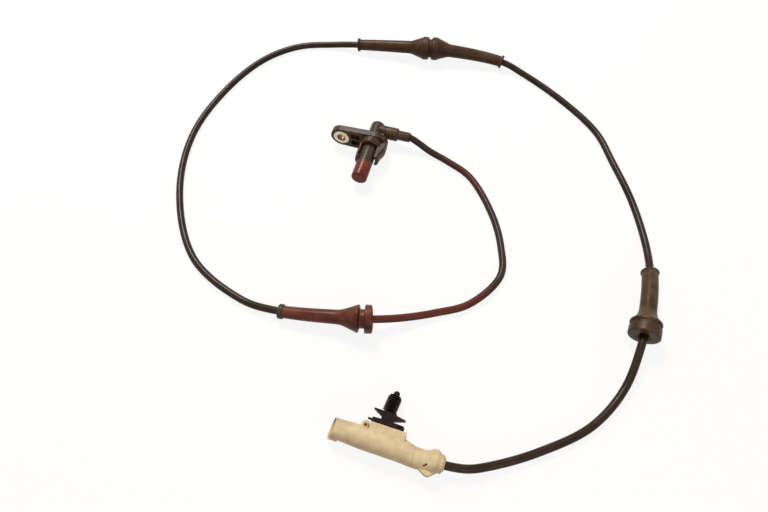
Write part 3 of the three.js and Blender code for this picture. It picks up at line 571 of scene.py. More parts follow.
def makeBendTree():
    # lays a straight piece, drawn along X, on a route from a given start
    inputs = {"Route": "Object", "Start": "Float", "Material": "Material"}
    tree, pen, given = makeTree("bendAlong", inputs)
    info = pen.add("GeometryNodeObjectInfo", {"Object": given["Route"]}, transform_space="RELATIVE")
    curve = {"Curve": info.outputs["Geometry"]}
    curve = pen.out("GeometryNodeSetCurveNormal", curve, mode="Z_UP")
    position = pen.out("GeometryNodeInputPosition")
    part = pen.add("ShaderNodeSeparateXYZ", {0: position}).outputs
    spot = {"Curves": curve, "Length": pen.math("ADD", part["X"], given["Start"])}
    sample = pen.add("GeometryNodeSampleCurve", spot, mode="LENGTH").outputs
    across = pen.vector("CROSS_PRODUCT", sample["Tangent"], sample["Normal"])
    side = pen.scaled(sample["Normal"], part["Y"])
    level = pen.vector("ADD", sample["Position"], side)
    place = pen.vector("ADD", level, pen.scaled(across, part["Z"]))
    straight = pen.scaled(position, mm)
    store = {"Geometry": given["Geometry"], "Name": "laidOut", "Value": straight}
    kept = pen.out(
        "GeometryNodeStoreNamedAttribute", store, data_type="FLOAT_VECTOR", domain="POINT",
    )
    laid = pen.out("GeometryNodeSetPosition", {"Geometry": kept, "Position": place})
    closeTree(pen, laid, given)
    return tree


bendTree = makeBendTree()


def makeRouteCurve():
    data = bpy.data.curves.new("routeCurve", "CURVE")
    data.dimensions = "3D"
    spline = data.splines.new("POLY")
    spline.points.add(len(route) - 1)
    for point, place in zip(spline.points, route):
        point.co = (*place, 1)
    return linked("routeCurve", data)


routeCurve = makeRouteCurve()


def onRoute(name, profile, sides, start, material, slot, node):
    item = makeObject(name, turned(profile, sides))
    runTree(item, bendTree, {"Route": routeCurve, "Start": start, "Material": material})
    return finishPiece(item, lambda p: p, material, slot, node)


# Cable sheath
sheathLook = makeMaterial(
    "sheathPlastic", dark=(42, 27, 16), light=(60, 41, 26), patch=16.0, rough=(0.2, 0.28),
    bump=0.004, scratch=0.1, scratchStretch=(0.06, 3.0, 3.0), dustAmount=0.03,
    wear=(120, 100, 84), wearAmount=0.0, laidOut=True,
    fades=(
        {"axis": "X", "low": 290.0, "high": 270.0, "wave": 10.0, "colour": (60, 43, 27)},
        {"axis": "X", "low": 50.0, "high": 62.0, "until": (88.0, 112.0), "wave": 8.0,
         "colour": (84, 38, 27)},
        {"axis": "X", "low": 176.0, "high": 192.0, "until": (276.0, 290.0), "wave": 8.0,
         "colour": (98, 42, 29)},
    ),
)


def makeSheath(values):
    radius, edge = values["radius"], values["edge"]
    profile = [(0.0, 0.0), (0.0, radius, edge), (routeLength, radius, edge), (routeLength, 0.0)]
    profile = densePoints(roundCorners(profile, 3, False), values["step"], False)
    finish = (sheathLook, "sheath_plastic", "cable")
    return onRoute("cableSheath", profile, values["sides"], 0.0, *finish)


sheath = makeSheath(cableValues)
print("cable made")


# Rubber grommets: profiles as (along, radius, rounding), laid on the cable's way
grommetValues = {"bore": 3.1, "edge": 0.3, "sides": 72, "step": 1.2}


def grommetPiece(name, outer, at, direction, *finish):
    bore, edge = grommetValues["bore"], grommetValues["edge"]
    profile = roundCorners([*outer, (outer[-1][0], bore, edge), (outer[0][0], bore, edge)], 5)
    profile = densePoints(profile, grommetValues["step"])
    profile = [(along * direction, radius) for along, radius in profile]
    return onRoute(name, profile, grommetValues["sides"], at, *finish)


rubberLook = {
    "patch": 9.0, "rough": (0.3, 0.42), "dustAmount": 0.05, "bump": 0.015,
    "scratchStretch": (0.15, 1.5, 1.5), "laidOut": True,
}
redRubber = makeMaterial(
    "redBrownRubber", dark=(82, 34, 20), light=(112, 54, 35), dust=(190, 150, 135),
    wear=(160, 105, 88), coat=0.1, **rubberLook,
    fades=({"axis": "X", "low": 52.4, "high": 54.0, "wave": 0.6, "colour": (66, 54, 40)},),
)
darkRubber = makeMaterial(
    "darkRubber", dark=(60, 38, 22), light=(84, 56, 34), dust=(170, 150, 132),
    wear=(140, 116, 96), **rubberLook,
)
greyRubber = makeMaterial(
    "greyBrownRubber", dark=(66, 46, 29), light=(92, 68, 44), dust=(180, 160, 140),
    wear=(140, 118, 96), **rubberLook,
)

nearValues = {
    "at": 270.4, "collar": 5.1, "thin": 4.2, "thick": 4.9, "rim": 9.3, "groove": 6.4, "flange": 9.5,
    "collarLength": 3.0, "tubeLength": 39.2, "coneLength": 11.2, "rimLength": 0.9,
    "grooveLength": 3.0, "flangeLength": 4.8, "knees": (),
}
farValues = {
    "at": 1120.0, "collar": 6.1, "thin": 5.4, "thick": 5.6, "rim": 10.2, "groove": 9.0, "flange": 10.3,
    "collarLength": 1.4, "tubeLength": 33.0, "coneLength": 8.0, "rimLength": 1.4,
    "grooveLength": 1.8, "flangeLength": 6.0, "knees": ((3.0, 1.7),),
}


def endGrommet(s):
    grooveEnd = s.grooveLength / 2
    rimEnd = -grooveEnd - 0.8
    rimStart = rimEnd - s.rimLength
    coneStart = rimStart - s.coneLength
    tubeStart = coneStart - s.tubeLength
    collarStart = tubeStart - s.collarLength
    flangeEnd = grooveEnd + s.flangeLength
    return [
        (collarStart, s.collar, 0.6), (tubeStart, s.collar, 0.5), (tubeStart + 0.4, s.thin, 0.5),
        (coneStart, s.thick, 3.0),
        *[(rimStart - back, s.thick + rise, 3.0) for back, rise in s.knees], (rimStart, s.rim, 0.4),
        (rimEnd, s.rim, 0.4), (-grooveEnd, s.groove, 0.5), (grooveEnd, s.groove, 0.5),
        (grooveEnd + 0.2, s.flange, 0.5), (flangeEnd, s.flange, 0.9),
        (flangeEnd, grommetValues["bore"] + 1.6, 0.5),
        (flangeEnd - 0.8, grommetValues["bore"] + 0.8, 0.3),
    ]


nearGrommet = grommetPiece(
    "nearGrommet", endGrommet(sizesOf(nearValues)), nearValues["at"], -1,
    redRubber, "red_brown_rubber", "grommet_near_sensor",
)
farGrommet = grommetPiece(
    "farGrommet", endGrommet(sizesOf(farValues)), farValues["at"], 1,
    greyRubber, "grey_brown_rubber", "grommet_near_plug",
)

middleValues = {
    "at": 774.5, "collar": 5.6, "thin": 4.4, "thick": 5.3, "bulb": 9.4, "groove": 7.5,
    "collarLength": 2.0, "tubeLength": 46.0, "bellLength": 8.0, "bulbLength": 6.0,
    "grooveLength": 1.4,
}


def doubleGrommet(s):
    bulbInner = s.grooveLength / 2 + 0.8
    bulbOuter = bulbInner + s.bulbLength
    bellEnd = bulbOuter + s.bellLength
    tubeEnd = bellEnd + s.tubeLength
    half = [
        (s.grooveLength / 2, s.groove, 0.4), (bulbInner, s.bulb - 0.3, 0.8),
        (bulbInner + 1, s.bulb, 1.0), (bulbOuter - 1.5, s.bulb, 2.5),
        (bulbOuter, s.bulb - 0.9, 2.5), (bellEnd - 1.6, s.thick + 0.9, 3.0),
        (bellEnd + 1, s.thick, 5.0), (tubeEnd, s.thin, 0.5), (tubeEnd + 0.4, s.collar, 0.6),
        (tubeEnd + s.collarLength, s.collar, 0.7),
    ]
    return [(-along, radius, turn) for along, radius, turn in reversed(half)] + half


middleGrommet = grommetPiece(
    "middleGrommet", doubleGrommet(sizesOf(middleValues)), middleValues["at"], 1,
    darkRubber, "dark_rubber", "grommet_middle",
)
print("grommets made")


# Sensor body
bodyValues = {
    "probeRadius": 6.05, "gap": 0.3, "flangeThickness": 4.8, "flangeRadius": 9.75,
    "flangeReach": 12.0, "bushSpacing": 24.8, "lobeRadius": 8.6, "bushHole": 6.6,
    "collarRadius": 9.2, "collarDepth": 5.5, "collarEdge": 0.8, "pocketDepth": 3.0,
    "pocketHeight": 5.0, "pocketRib": 1.8, "pocketStart": -16.7, "pocketEnd": -10.0,
    "upperProng": {"side": 1, "reach": 12.4, "tip": 9.8, "length": 16.0},
    "lowerProng": {"side": -1, "reach": 9.1, "tip": 8.1, "length": 19.3},
    "prongGap": 1.05, "prongHalfWidth": 5.0, "knobRadius": 5.6, "knobShoulder": 18.0,
    "knobDome": 3.5, "knobWall": 1.0, "outletHeight": 14.1, "outletRadius": 5.1,
    "outletReach": 7.5, "outletWall": 0.9, "gussetHalfWidth": 3.2, "gussetFoot": 1.6,
    "capsuleSeat": 3.3, "clearLength": 35.0, "voxel": 0.22,
}


def flangeShape(s):
    centre = s.flangeReach - s.flangeRadius
    span = s.bushSpacing + centre
    lean = acos((s.lobeRadius - s.flangeRadius) / span)
    outline = arcPoints(centre, s.flangeRadius, -lean, lean, 48)
    outline += arcPoints(-s.bushSpacing, s.lobeRadius, lean, 2 * pi - lean, 48)
    return acrossY(plate(outline, 0.0, s.flangeThickness))


def prongShape(s, side, reach, tip, length):
    outline = [
        (past, 0), (past, reach), (-s.collarDepth, reach),
        (-s.collarDepth - 3.5, (reach + tip) / 2), (-length * 0.72, tip + 0.5),
        (-length + 1, tip), (-length, tip - 0.6), (-length, 0),
    ]
    sides = sorted((side * s.probeRadius, side * (reach + past)))
    slab = block(sides, (-length - past, 0.8), both(s.prongHalfWidth))
    return crossing(alongY(turned(outline)), slab)


def makeBody(s):
    thick = s.flangeThickness
    dome = domePoints(s.knobShoulder, s.knobDome, s.knobRadius, 16)
    depth, edge = s.collarDepth, s.collarEdge
    collar = [
        (past, 0), (past, s.collarRadius), (-depth + edge, s.collarRadius),
        (-depth, s.collarRadius - edge), (-depth, 0),
    ]
    outlet = rod(s.outletRadius, 0, s.outletReach)
    under = s.outletHeight - s.outletRadius
    foot = s.gussetFoot
    gusset = [
        (s.knobRadius - 2, thick - past), (s.flangeReach - foot, thick - past),
        (s.flangeReach - foot - 1, thick + 1.2), (s.outletReach, under - s.gap),
        (s.outletReach, under + foot), (s.knobRadius - 2, under + foot),
    ]
    adds = [
        flangeShape(s),
        alongY(turned(collar)),
        prongShape(s, **s.upperProng),
        prongShape(s, **s.lowerProng),
        alongY(turned([(past, 0), (past, s.knobRadius), *dome])),
        shifted(outlet, y=s.outletHeight),
        plate(gusset, *both(s.gussetHalfWidth)),
    ]
    bore = s.probeRadius + s.gap
    wide = s.probeRadius + s.prongGap
    hollow = rod(s.outletRadius - s.outletWall, 0, s.outletReach + past)
    cuts = [
        shifted(alongY(rod(s.bushHole, -past, thick + past)), x=-s.bushSpacing),
        alongY(rod(bore, -depth - past, s.capsuleSeat)),
        alongY(rod(wide, -s.clearLength, -depth + 0.6)),
        alongY(rod(s.knobRadius - s.knobWall, 0, s.knobShoulder)),
        shifted(hollow, y=s.outletHeight),
    ]
    for side in (-1, 1):
        near = side * s.pocketRib / 2
        far = side * (s.pocketRib / 2 + s.pocketHeight)
        length = (s.pocketStart, s.pocketEnd)
        cuts.append(block(length, (-past, s.pocketDepth), sorted((near, far))))
    return fuse("sensorShell", adds, cuts, s.voxel)


# the body's pale golden edge colour is wear and also a painted highlight, the sheen along the flange's
# top edge
bodyLook = makeMaterial(
    "bodyPlastic", dark=(43, 29, 15), light=(82, 59, 32), rough=(0.3, 0.42), specular=0.22,
    wear=(168, 132, 88), wearAmount=0.4, dust=(170, 150, 126), dustAmount=0.06,
    seam={"axis": "Z", "at": 9.75, "width": 0.22},
)
finishPiece(makeBody(sizesOf(bodyValues)), inHead, bodyLook, "body_plastic", "sensor_body")
print("sensor body made")


# Bush, probe cup and strain relief
bushValues = {"hole": 3.3, "radius": 6.3, "low": -0.4, "high": 5.2, "edge": 0.4}
probeValues = {"radius": 6.05, "length": 35.0, "wall": 1.1, "tip": 1.3, "seat": 3.0, "edge": 0.3}
reliefValues = {
    "bore": 2.9, "neck": 3.9, "neckStart": 3.6, "start": 7.8, "radius": 5.1, "step": 17.3,
    "tail": 3.75, "end": 27.0,
}

bushLook = makeMaterial(
    "bushMetal", dark=(214, 200, 172), light=(246, 236, 214), patch=3.0, metallic=0.6,
    rough=(0.26, 0.42), bump=0.01, scratch=0.4, wear=(255, 250, 240), dust=(190, 170, 150),
    scratchStretch=(1.6, 1.6, 1.6),
    # painted shade: the hole's wall is darker where shade falls inside it
    inside={"origin": (-14.3, 6.75, 9.75), "axis": (0.0, -1.0, 0.0), "radius": 3.35,
            "low": -9.0, "high": -8.0, "end": 8.0, "colour": (132, 106, 72)},
)
probeLook = makeMaterial(
    "probePlastic", dark=(98, 32, 18), light=(132, 54, 33), rough=(0.26, 0.34), bump=0.005,
    coat=0.1, dust=(200, 160, 140), dustAmount=0.04, wear=(170, 110, 90), scratch=0.12,
    scratchStretch=(2.4, 0.08, 2.4),
    fades=({"axis": "Y", "low": -16.0, "high": -11.5, "wave": 2.0, "colour": (70, 56, 40)},),
)
reliefLook = makeMaterial(
    "reliefPlastic", dark=(52, 34, 20), light=(92, 66, 38), rough=(0.3, 0.42), specular=0.22,
    wear=(160, 140, 112), dust=(180, 160, 135),
)


def makeBush(s):
    ends = ((s.low, s.hole), (s.low, s.radius), (s.high, s.radius),
            (s.high, s.hole))
    profile = roundCorners([(along, radius, s.edge) for along, radius in ends], 4)
    shape = shifted(alongY(turned(profile)), x=-bodyValues["bushSpacing"])
    return addPiece("bushRing", shape, inHead, bushLook, "bush_metal", "mounting_bush")


def makeProbe(s):
    bore = s.radius - s.wall
    profile = [
        (-s.length, 0), (-s.length, s.radius, s.tip),
        (s.seat, s.radius, s.edge), (s.seat, bore, s.edge),
        (-s.length + s.tip, bore, 0.4), (-s.length + s.tip, 0),
    ]
    shape = alongY(turned(roundCorners(profile, 5, False)))
    return addPiece("probeCup", shape, inHead, probeLook, "capsule_plastic", "probe_capsule")


def makeRelief(s):
    profile = [
        (s.neckStart, s.bore, 0.2), (s.neckStart, s.neck, 0.3),
        (s.start, s.neck, 0.2), (s.start, s.radius, 0.3),
        (s.step, s.radius, 0.9), (s.step + 0.2, s.tail, 0.4),
        (s.end, s.tail, 0.6), (s.end, s.bore + 0.4, 0.2), (s.end - 2.4, s.bore, 0.4),
    ]
    shape = shifted(turned(roundCorners(profile, 4)), y=cableValues["outletHeight"])
    return addPiece("reliefSleeve", shape, inHead, reliefLook, "body_plastic", "strain_relief")


makeBush(sizesOf(bushValues))
makeProbe(sizesOf(probeValues))
relief = makeRelief(sizesOf(reliefValues))
print("bush, probe and strain relief made")


# Plug housing and its rear cap
plugValues = {
    "mouthRadius": 6.2, "mouthLength": 3.0, "mouthWall": 1.2, "mouthDepth": 14.0, "mouthCut": 0.25,
    "mouthSlope": 0.298, "mouthEdge": 5.9, "mouthEase": 3.5, "mouthReach": 9.0,
    "beadHeight": 1.1, "beadLength": 5.3, "beadSide": -2.0, "beadTop": 0.5,
    "barrelRadius": 7.0, "barrelStart": 20.0, "seam": 51.53, "spigotRadius": 4.6,
    "housingEnd": 59.9, "blockStart": 21.7, "blockLength": 22.5, "blockTop": 9.5,
    "blockHalfHeight": 6.0, "eyePlace": (19.1, 7.2), "eyeRadius": 2.8, "eyeHole": 1.1,
    "eyeFloor": -1.2, "eyeHeight": (-2.5, 2.8), "eyeSlot": ((20.75, 21.85), (5.2, 12.3), (-1.0, 7.0)),
    "keyPlace": 31.5, "keyLength": 12.0, "keyWidth": 5.0, "keyDepth": 1.0, "gap": 0.3,
    "cavity": 1.8, "pinHole": 1.05, "terminalSpacing": 4.6, "wireDrop": 0.7, "voxel": 0.22,
}
dropValues = {
    "start": 44.2, "seam": 51.4, "waist": 57.5, "end": 62.6, "drop": 1.2, "seamRadius": 6.2,
}
capValues = {
    "start": 51.57, "length": 70.4, "waist": 6.1, "waistPlace": 57.5, "neck": 6.3,
    "neckPlace": 60.1, "bulb": 7.3, "bulbPlace": 62.6, "bulbLength": 2.6, "shoulder": 1.2,
    "end": 3.9, "inner": 4.9, "endWall": 4.6, "bore": 2.9, "flare": 0.5, "lugHalfHeight": 2.6,
    "lug": [(53.6, -5.5), (60.5, -9.3, 1.0), (62.8, -9.3, 0.8), (67.0, -5.5)],
    "slotPlace": 59.3, "slotLength": 3.4, "slotWidth": 1.7, "slotDepth": 2.2, "slotRise": 1.2,
    "slotAngle": 129.0, "slotTurn": 53.0, "voxel": 0.2,
}
plugLook = makeMaterial(
    "plugPlastic", dark=(224, 197, 156), light=(240, 218, 172), patch=7.0, grainAmount=0.06,
    rough=(0.36, 0.5), dust=(150, 125, 105), dustAmount=0.12, wear=(240, 225, 200),
    wearAmount=0.3, scratchStretch=(0.2, 2.0, 2.0),
    # painted shade: the mouth's inside is darker brown where shade falls within it
    inside={"origin": tuple(plugPlace), "axis": (cos(plugTurn), sin(plugTurn), 0.0),
            "radius": 5.9, "low": -1.0, "high": 6.0, "end": 14.0, "colour": (112, 76, 36)},
)


def dropAt(along):
    # how far the plug's centre has dropped at a place along it
    s = sizesOf(dropValues)
    if along <= s.seam:
        return s.drop * max(along - s.start, 0) / (s.seam - s.start)
    share = (s.end - along) / (s.end - s.waist)
    return s.drop * min(max(share, 0), 1)


def dropped(shape):
    return moved(shape, lambda p: p - Vector((0, dropAt(p.x), 0)))


def makeHousing(s):
    front = s.mouthCut - s.mouthSlope * (s.mouthRadius + s.beadHeight) - 1
    reach = s.mouthReach
    seamRadius = dropValues["seamRadius"]
    barrel = [
        (front, 0), (front, s.mouthRadius), (s.mouthLength, s.mouthRadius),
        (s.barrelStart, s.barrelRadius), (dropValues["start"], s.barrelRadius),
        (dropValues["seam"], seamRadius), (s.seam, seamRadius), (s.seam, 0),
    ]
    corner = block((front - past, 7), (-reach, s.beadSide), (-reach, s.beadTop))
    bead = crossing(
        rod(s.mouthRadius + s.beadHeight, front, s.beadLength), corner,
    )
    spigot = rod(s.spigotRadius, s.seam - past, s.housingEnd)
    start, top = s.blockStart, s.blockTop
    eyeX, eyeY = s.eyePlace
    adds = [
        dropped(turned(barrel)),
        shifted(spigot, y=-s.wireDrop),
        bead,
        block((start, start + s.blockLength), (0, top), both(s.blockHalfHeight)),
        shifted(alongZ(rod(s.eyeRadius, *s.eyeHeight, 48)), x=eyeX, y=eyeY),
    ]
    slope = reach * s.mouthSlope
    rim = [
        (front - 2, -reach), (s.mouthCut - slope, -reach), (s.mouthCut + slope, reach),
        (front - 2, reach),
    ]
    inside = s.mouthRadius - s.mouthWall
    ease = s.mouthEase
    mouth = [
        (front - past, 0), (front - past, s.mouthEdge), (ease, s.mouthEdge),
        (ease + 1.5, inside - 0.2), (ease + 1.5, 0),
    ]
    keyReach = s.keyLength / 2 + s.gap
    cuts = [
        acrossY(plate(rim, *both(reach))),
        rod(inside, front - past, s.mouthDepth),
        turned(mouth),
        block(
            (s.keyPlace - keyReach, s.keyPlace + keyReach),
            (top - s.keyDepth - s.gap, top + past), both(s.keyWidth / 2 + s.gap),
        ),
        shifted(alongZ(rod(s.eyeHole, s.eyeFloor, 4, 32)), x=eyeX, y=eyeY),
        block(*s.eyeSlot),
    ]
    depth = s.mouthDepth
    for side in (-1, 1):
        y = side * s.terminalSpacing / 2 - s.wireDrop
        cuts.append(shifted(rod(s.pinHole, depth - past, depth + 3, 32), y=y))
        cuts.append(shifted(rod(s.cavity, depth + 2, s.housingEnd + past, 32), y=y))
    return fuse("plugShell", adds, cuts, s.voxel)


def makeCap(s):
    bulbEnd = s.bulbPlace + s.bulbLength
    outside = [
        (s.start, 0), (s.start, dropValues["seamRadius"], 0.15),
        (s.waistPlace, s.waist, 2.0), (s.neckPlace, s.neck, 1.5),
        (s.bulbPlace, s.bulb, 1.2), (bulbEnd, s.bulb, 1.2),
        (bulbEnd + s.shoulder, s.neck, 1.2), (s.length, s.end, 0.8), (s.length, 0),
    ]
    inner = s.length - s.endWall
    mouth = s.length + 0.1
    bore = [
        (s.start, 0), (s.start, s.bore), (inner, s.bore), (mouth, s.bore + s.flare), (mouth, 0),
    ]
    slot = rod(s.slotWidth / 2, -s.slotDepth, s.slotRise, 32)
    stretch = Matrix.Diagonal((s.slotLength / s.slotWidth, 1, 1))
    turn = Matrix.Rotation(radians(s.slotTurn), 3, "Y")
    angle = radians(s.slotAngle)
    roll = Matrix.Rotation(angle, 3, "X")
    level = s.neck * cos(angle) - dropAt(s.slotPlace)
    spot = Vector((s.slotPlace, level, s.neck * sin(angle)))
    adds = [
        dropped(turned(roundCorners(outside, 5, False))),
        plate(roundCorners(s.lug, 5), *both(s.lugHalfHeight)),
    ]
    hollow = rod(s.inner, s.start - past, inner)
    cuts = [
        moved(alongY(slot), lambda p: roll @ turn @ stretch @ p + spot),
        shifted(hollow, y=-plugValues["wireDrop"]),
        turned(bore),
    ]
    return fuse("plugCap", adds, cuts, s.voxel)


inPlugLook = (inPlug, plugLook, "plug_plastic")
housing = finishPiece(makeHousing(sizesOf(plugValues)), *inPlugLook, "plug_housing")
cap = finishPiece(makeCap(sizesOf(capValues)), *inPlugLook, "plug_rear_cap")
print("plug made")


# Repeated parts: fins on the clip's stem, ribs on the plug's block and teeth on its cap
def makeRowTree():
    # copies of one shape along a straight line, with the last one smaller
    inputs = {"Count": "Int", "Pitch": "Float", "Last Size": "Float", "Material": "Material"}
    tree, pen, given = makeTree("rowOfCopies", inputs)
    offset = pen.out("ShaderNodeCombineXYZ", {"X": given["Pitch"]})
    line = pen.out("GeometryNodeMeshLine", {"Count": given["Count"], "Offset": offset})
    index = pen.out("GeometryNodeInputIndex")
    isLast = pen.math("GREATER_THAN", index, pen.math("SUBTRACT", given["Count"], 1.5))
    size = pen.spread(isLast, 0.0, 1.0, 1.0, given["Last Size"])
    scale = pen.out("ShaderNodeCombineXYZ", {"X": 1.0, "Y": size, "Z": size})
    values = {"Points": line, "Instance": given["Geometry"], "Scale": scale}
    closeTree(pen, pen.out("GeometryNodeInstanceOnPoints", values), given)
    return tree


def makeRingTree():
    # copies of one shape round the X axis
    inputs = {"Count": "Int", "Radius": "Float", "Material": "Material"}
    tree, pen, given = makeTree("ringOfCopies", inputs)
    circle = {"Vertices": given["Count"], "Radius": given["Radius"]}
    circle = pen.out("GeometryNodeMeshCircle", circle)
    index = pen.out("GeometryNodeInputIndex")
    angle = pen.times(pen.math("DIVIDE", index, given["Count"]), 2 * pi)
    turn = pen.out("ShaderNodeCombineXYZ", {"Z": angle})
    values = {"Points": circle, "Instance": given["Geometry"], "Rotation": turn}
    ring = pen.out("GeometryNodeInstanceOnPoints", values)
    upright = {"Geometry": ring, "Rotation": (0.0, radians(90), 0.0)}
    closeTree(pen, pen.out("GeometryNodeTransform", upright), given)
    return tree


rowTree = makeRowTree()
ringTree = makeRingTree()

clipValues = {
    "footLength": 20.7, "footWidth": 10.5, "footThickness": 3.0, "lipHeight": 0.5, "lipReach": 1.7,
    "lipInset": 0.7, "nibRadius": 0.75, "nibReach": 2.2, "keyLength": 12.0, "keyWidth": 5.0,
    "keyDepth": 1.0, "setback": 1.15, "lean": -5.0, "stemSetback": 1.2, "stemRadius": 2.0,
    "neckLength": 9.6, "neckHalfLength": 4.0, "neckHalfWidth": 2.6, "wingLow": 5.25,
    "wingHigh": 8.9, "wingReach": 10.3, "wingTip": 8.35, "wingThickness": 0.5, "wingRoot": 0.6,
    "wingHalfWidth": 1.8, "finCount": 8, "finStart": 0.4, "finRadius": 4.5, "finPitch": 1.36,
    "finLast": 0.85, "tipRadius": 2.05, "tipLength": 2.6, "voxel": 0.13,
}
clipPlace = Vector((31.5, 9.8, 0))
clipLook = makeMaterial(
    "clipPlastic", dark=(24, 12, 11), light=(42, 24, 21), specular=0.1, patch=4.0,
    rough=(0.34, 0.48), wear=(110, 95, 90), dust=(140, 125, 118), scratchStretch=(1.0, 1.0, 1.0),
)


def clipPoint(point):
    return inPlug(point + clipPlace)


def leaned(point):
    lean = Matrix.Rotation(radians(clipValues["lean"]), 3, "Z")
    return lean @ point - Vector((clipValues["setback"], 0, 0))


def wingOutline(s, side):
    outline = [
        (s.neckHalfLength - s.wingRoot, s.wingLow), (s.neckHalfLength, s.wingLow),
        (s.wingReach, s.wingTip - s.wingThickness), (s.wingReach, s.wingTip),
        (s.neckHalfLength, s.wingHigh), (s.neckHalfLength - s.wingRoot, s.wingHigh),
    ]
    return [(side * x, y) for x, y in outline]


def makeClip(s):
    straight = (s.footLength - s.footWidth) / 2
    foot = arcPoints(straight, s.footWidth / 2, -pi / 2, pi / 2, 32)
    foot += arcPoints(-straight, s.footWidth / 2, pi / 2, 1.5 * pi, 32)
    thick, neck = s.footThickness, s.neckLength
    end = s.footLength / 2
    key = (-s.keyDepth - 0.3, 0.5)
    nib = rod(s.nibRadius, -end - s.nibReach, past - end, 32)
    adds = [
        acrossY(plate(foot, 0, thick)),
        block(both(s.keyLength / 2), key, both(s.keyWidth / 2)),
        shifted(nib, y=thick - s.nibRadius),
    ]
    for side in (-1, 1):
        centre = side * (end - s.lipInset - s.lipReach)
        length = (centre - s.lipReach, centre + s.lipReach)
        adds.append(block(length, (thick - 0.5, thick + s.lipHeight), both(s.footWidth / 4)))
        wing = plate(wingOutline(s, side), *both(s.wingHalfWidth))
        adds.append(moved(wing, leaned))
    middle = block(both(s.neckHalfLength), (thick / 2, neck), both(s.neckHalfWidth))
    adds.append(moved(middle, leaned))
    stemEnd = neck + s.finStart + s.finCount * s.finPitch
    radius = s.tipRadius
    stem = [
        (neck - past, 0), (neck - past, s.stemRadius), (stemEnd - 0.4, s.stemRadius),
        *domePoints(stemEnd + s.tipLength - radius, radius, radius, 8),
    ]
    adds.append(moved(shifted(alongY(turned(stem, 48)), x=-s.stemSetback), leaned))
    return fuse("clipBody", adds, [], s.voxel)


def repeatShape(name, shape, tree, values, *finish):
    item = runTree(makeObject(name, shape), tree, {**values, "Material": finish[1]})
    return finishPiece(item, *finish)


def makeFins(s):
    root = s.stemRadius - 0.3
    fin = [(0, root), (0.1, s.finRadius, 0.15), (0.45, s.finRadius, 0.15), (0.95, root)]
    values = {"Count": s.finCount, "Pitch": s.finPitch, "Last Size": s.finLast}
    start = Vector((-s.stemSetback, s.neckLength + s.finStart, 0))
    return repeatShape(
        "clipFins", turned(roundCorners(fin, 3), 48), rowTree, values,
        lambda p: clipPoint(leaned(Vector((-p.y, p.x, p.z)) + start)), clipLook, "clip_plastic",
    )


def makeBlockRibs(s):
    values = {"Count": 7, "Pitch": 2.4, "Last Size": 1.0}
    ribs = {"start": 25.4, "low": 4.6, "inset": 0.6, "width": 0.6, "height": 0.18}
    side = (ribs["low"], s.blockTop - ribs["inset"])
    shape = block((0, ribs["width"]), side, (-0.2, ribs["height"]))
    lift = Vector((ribs["start"], 0, s.blockHalfHeight))
    return repeatShape(
        "blockRibs", shape, rowTree, values, lambda p: inPlug(p + lift), plugLook, "plug_plastic",
    )


def makeCapTeeth():
    values = {"Count": 20, "Radius": 4.75}
    start = Vector((68.2, 0, 0))
    tooth = [(-1.2, 0), (-0.9, 0.8, 0.3), (0.9, 0.8, 0.3), (1.2, 0)]
    shape = alongZ(turned(roundCorners(tooth, 3, False), 16))
    return repeatShape(
        "capTeeth", shape, ringTree, values, lambda p: inPlug(p + start), plugLook, "plug_plastic",
    )


clip = finishPiece(
    makeClip(sizesOf(clipValues)), clipPoint, clipLook, "clip_plastic", "push_in_clip",
)
fins = makeFins(sizesOf(clipValues))
ribs = makeBlockRibs(sizesOf(plugValues))
teeth = makeCapTeeth()
print("clip and repeated parts made")


# Looks of the small inner pieces, which keep their solid shape
innerLooks = {
    "lead_metal": dict(
        dark=(176, 152, 100), light=(206, 184, 130), metallic=0.9, rough=(0.24, 0.36), bump=0.008,
    ),
    "carrier_plastic": dict(dark=(36, 36, 38), light=(50, 50, 53)),
    "chip_plastic": dict(dark=(18, 18, 20), light=(30, 30, 33)),
    "magnet_metal": dict(
        dark=(120, 122, 126), light=(150, 152, 156), metallic=0.9, rough=(0.3, 0.45),
    ),
    "capacitor_ceramic": dict(dark=(140, 80, 36), light=(165, 100, 52)),
    "core_brown": dict(dark=(96, 58, 34), light=(118, 74, 46)),
    "core_blue": dict(dark=(40, 70, 132), light=(56, 90, 156)),
    "seal_rubber": dict(dark=(126, 66, 42), light=(150, 84, 56), rough=(0.5, 0.65)),
    "lock_plastic": dict(dark=(186, 182, 172), light=(208, 204, 194), wear=(230, 228, 220)),
}
slotOfNode = {part["node"]: part["material_slot"] for part in frame["record"]["subparts"]}
innerMaterials = {slot: makeMaterial(slot, **look) for slot, look in innerLooks.items()}
for name, item in nodes.items():
    material = innerMaterials.get(slotOfNode[name])
    if material:
        for materialSlot in item.material_slots:
            materialSlot.material = material
print("inner pieces dressed")


# The route curve, no longer needed by the pieces laid on it, is removed
routeData = routeCurve.data
bpy.data.objects.remove(routeCurve)
bpy.data.curves.remove(routeData)


# Floor, lamps and world
stageValues = {
    "floorSize": 4000.0, "floorLevel": -0.02, "floorRough": 0.8, "floorGlow": 0.88,
    "floorColour": (128, 120, 112), "shadeColour": (108, 103, 101), "worldLight": 0.3,
    "lamps": [
        {"name": "key", "place": (-450, 690, 1230), "size": 440, "power": 16.0,
         "colour": (1.0, 0.97, 0.92)},
        {"name": "fill", "place": (500, -700, 420), "size": 500, "power": 1.3,
         "colour": (1.0, 0.9, 0.86)},
    ],
}


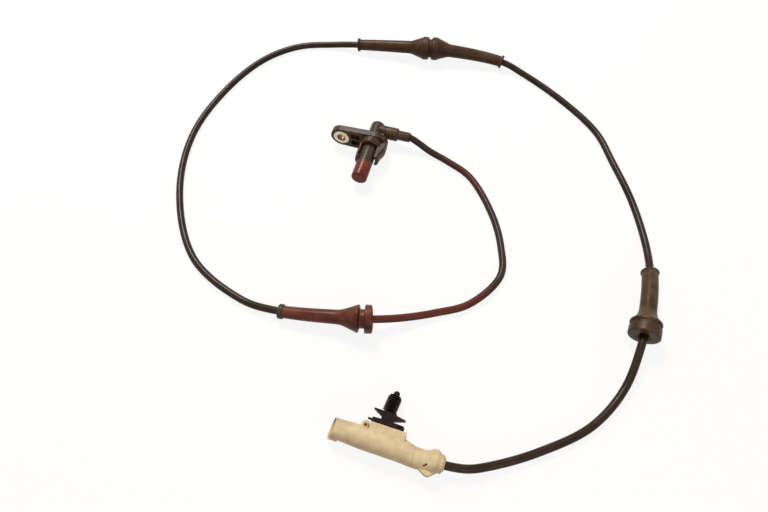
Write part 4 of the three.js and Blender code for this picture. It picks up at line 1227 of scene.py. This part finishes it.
def seenDirectly(pen, *rays):
    path = pen.add("ShaderNodeLightPath").outputs
    seen = path["Is Camera Ray"]
    for ray in rays:
        seen = pen.math("MAXIMUM", seen, path[ray])
    return seen


def makeFloor(values):
    half = values["floorSize"] / 2
    corners = ((-half, -half), (half, -half), (half, half), (-half, half))
    places = [tuple(Vector((x, y, values["floorLevel"])) * mm) for x, y in corners]
    mesh = bpy.data.meshes.new("floor")
    mesh.from_pydata(places, [], [[0, 1, 2, 3]])
    floor = linked("floor", mesh)
    material = bpy.data.materials.new("floorPaint")
    material.use_nodes = True
    pen = nodeWriter(material.node_tree)
    seen = seenDirectly(pen, "Is Glossy Ray")
    painted = [linear(values[key]) for key in ("floorColour", "shadeColour")]
    shader = pen.fill(material.node_tree.nodes["Principled BSDF"], {
        "Base Color": pen.mix(seen, *painted), "Roughness": values["floorRough"],
        "Specular IOR Level": 0.0,
    })
    glow = {"Color": (1, 1, 1, 1), "Strength": pen.times(seen, values["floorGlow"])}
    glow = pen.out("ShaderNodeEmission", glow)
    surface = pen.out("ShaderNodeAddShader", {0: shader.outputs[0], 1: glow})
    pen.fill(material.node_tree.nodes["Material Output"], {"Surface": surface})
    mesh.materials.append(material)


def makeLights(values):
    for lamp in values["lamps"]:
        data = bpy.data.lights.new(lamp["name"], "AREA")
        data.shape = "DISK"
        data.size = lamp["size"] * mm
        data.energy = lamp["power"]
        data.color = lamp["colour"]
        item = linked(lamp["name"], data)
        item.location = Vector(lamp["place"]) * mm
        aim = Vector(cameraValues["target"]) * mm - item.location
        item.rotation_euler = aim.to_track_quat("-Z", "Y").to_euler()
    world = bpy.data.worlds.new("studio")
    bpy.context.scene.world = world
    world.use_nodes = True
    pen = nodeWriter(world.node_tree)
    seen = seenDirectly(pen, "Is Glossy Ray", "Is Transmission Ray")
    strength = pen.spread(seen, 0.0, 1.0, values["worldLight"], 1.0)
    background = {"Color": (1, 1, 1, 1), "Strength": strength}
    pen.fill(world.node_tree.nodes["Background"], background)


makeFloor(stageValues)
makeLights(stageValues)
bpy.context.scene.view_settings.view_transform = "Standard"
print("floor, lamps and world made")
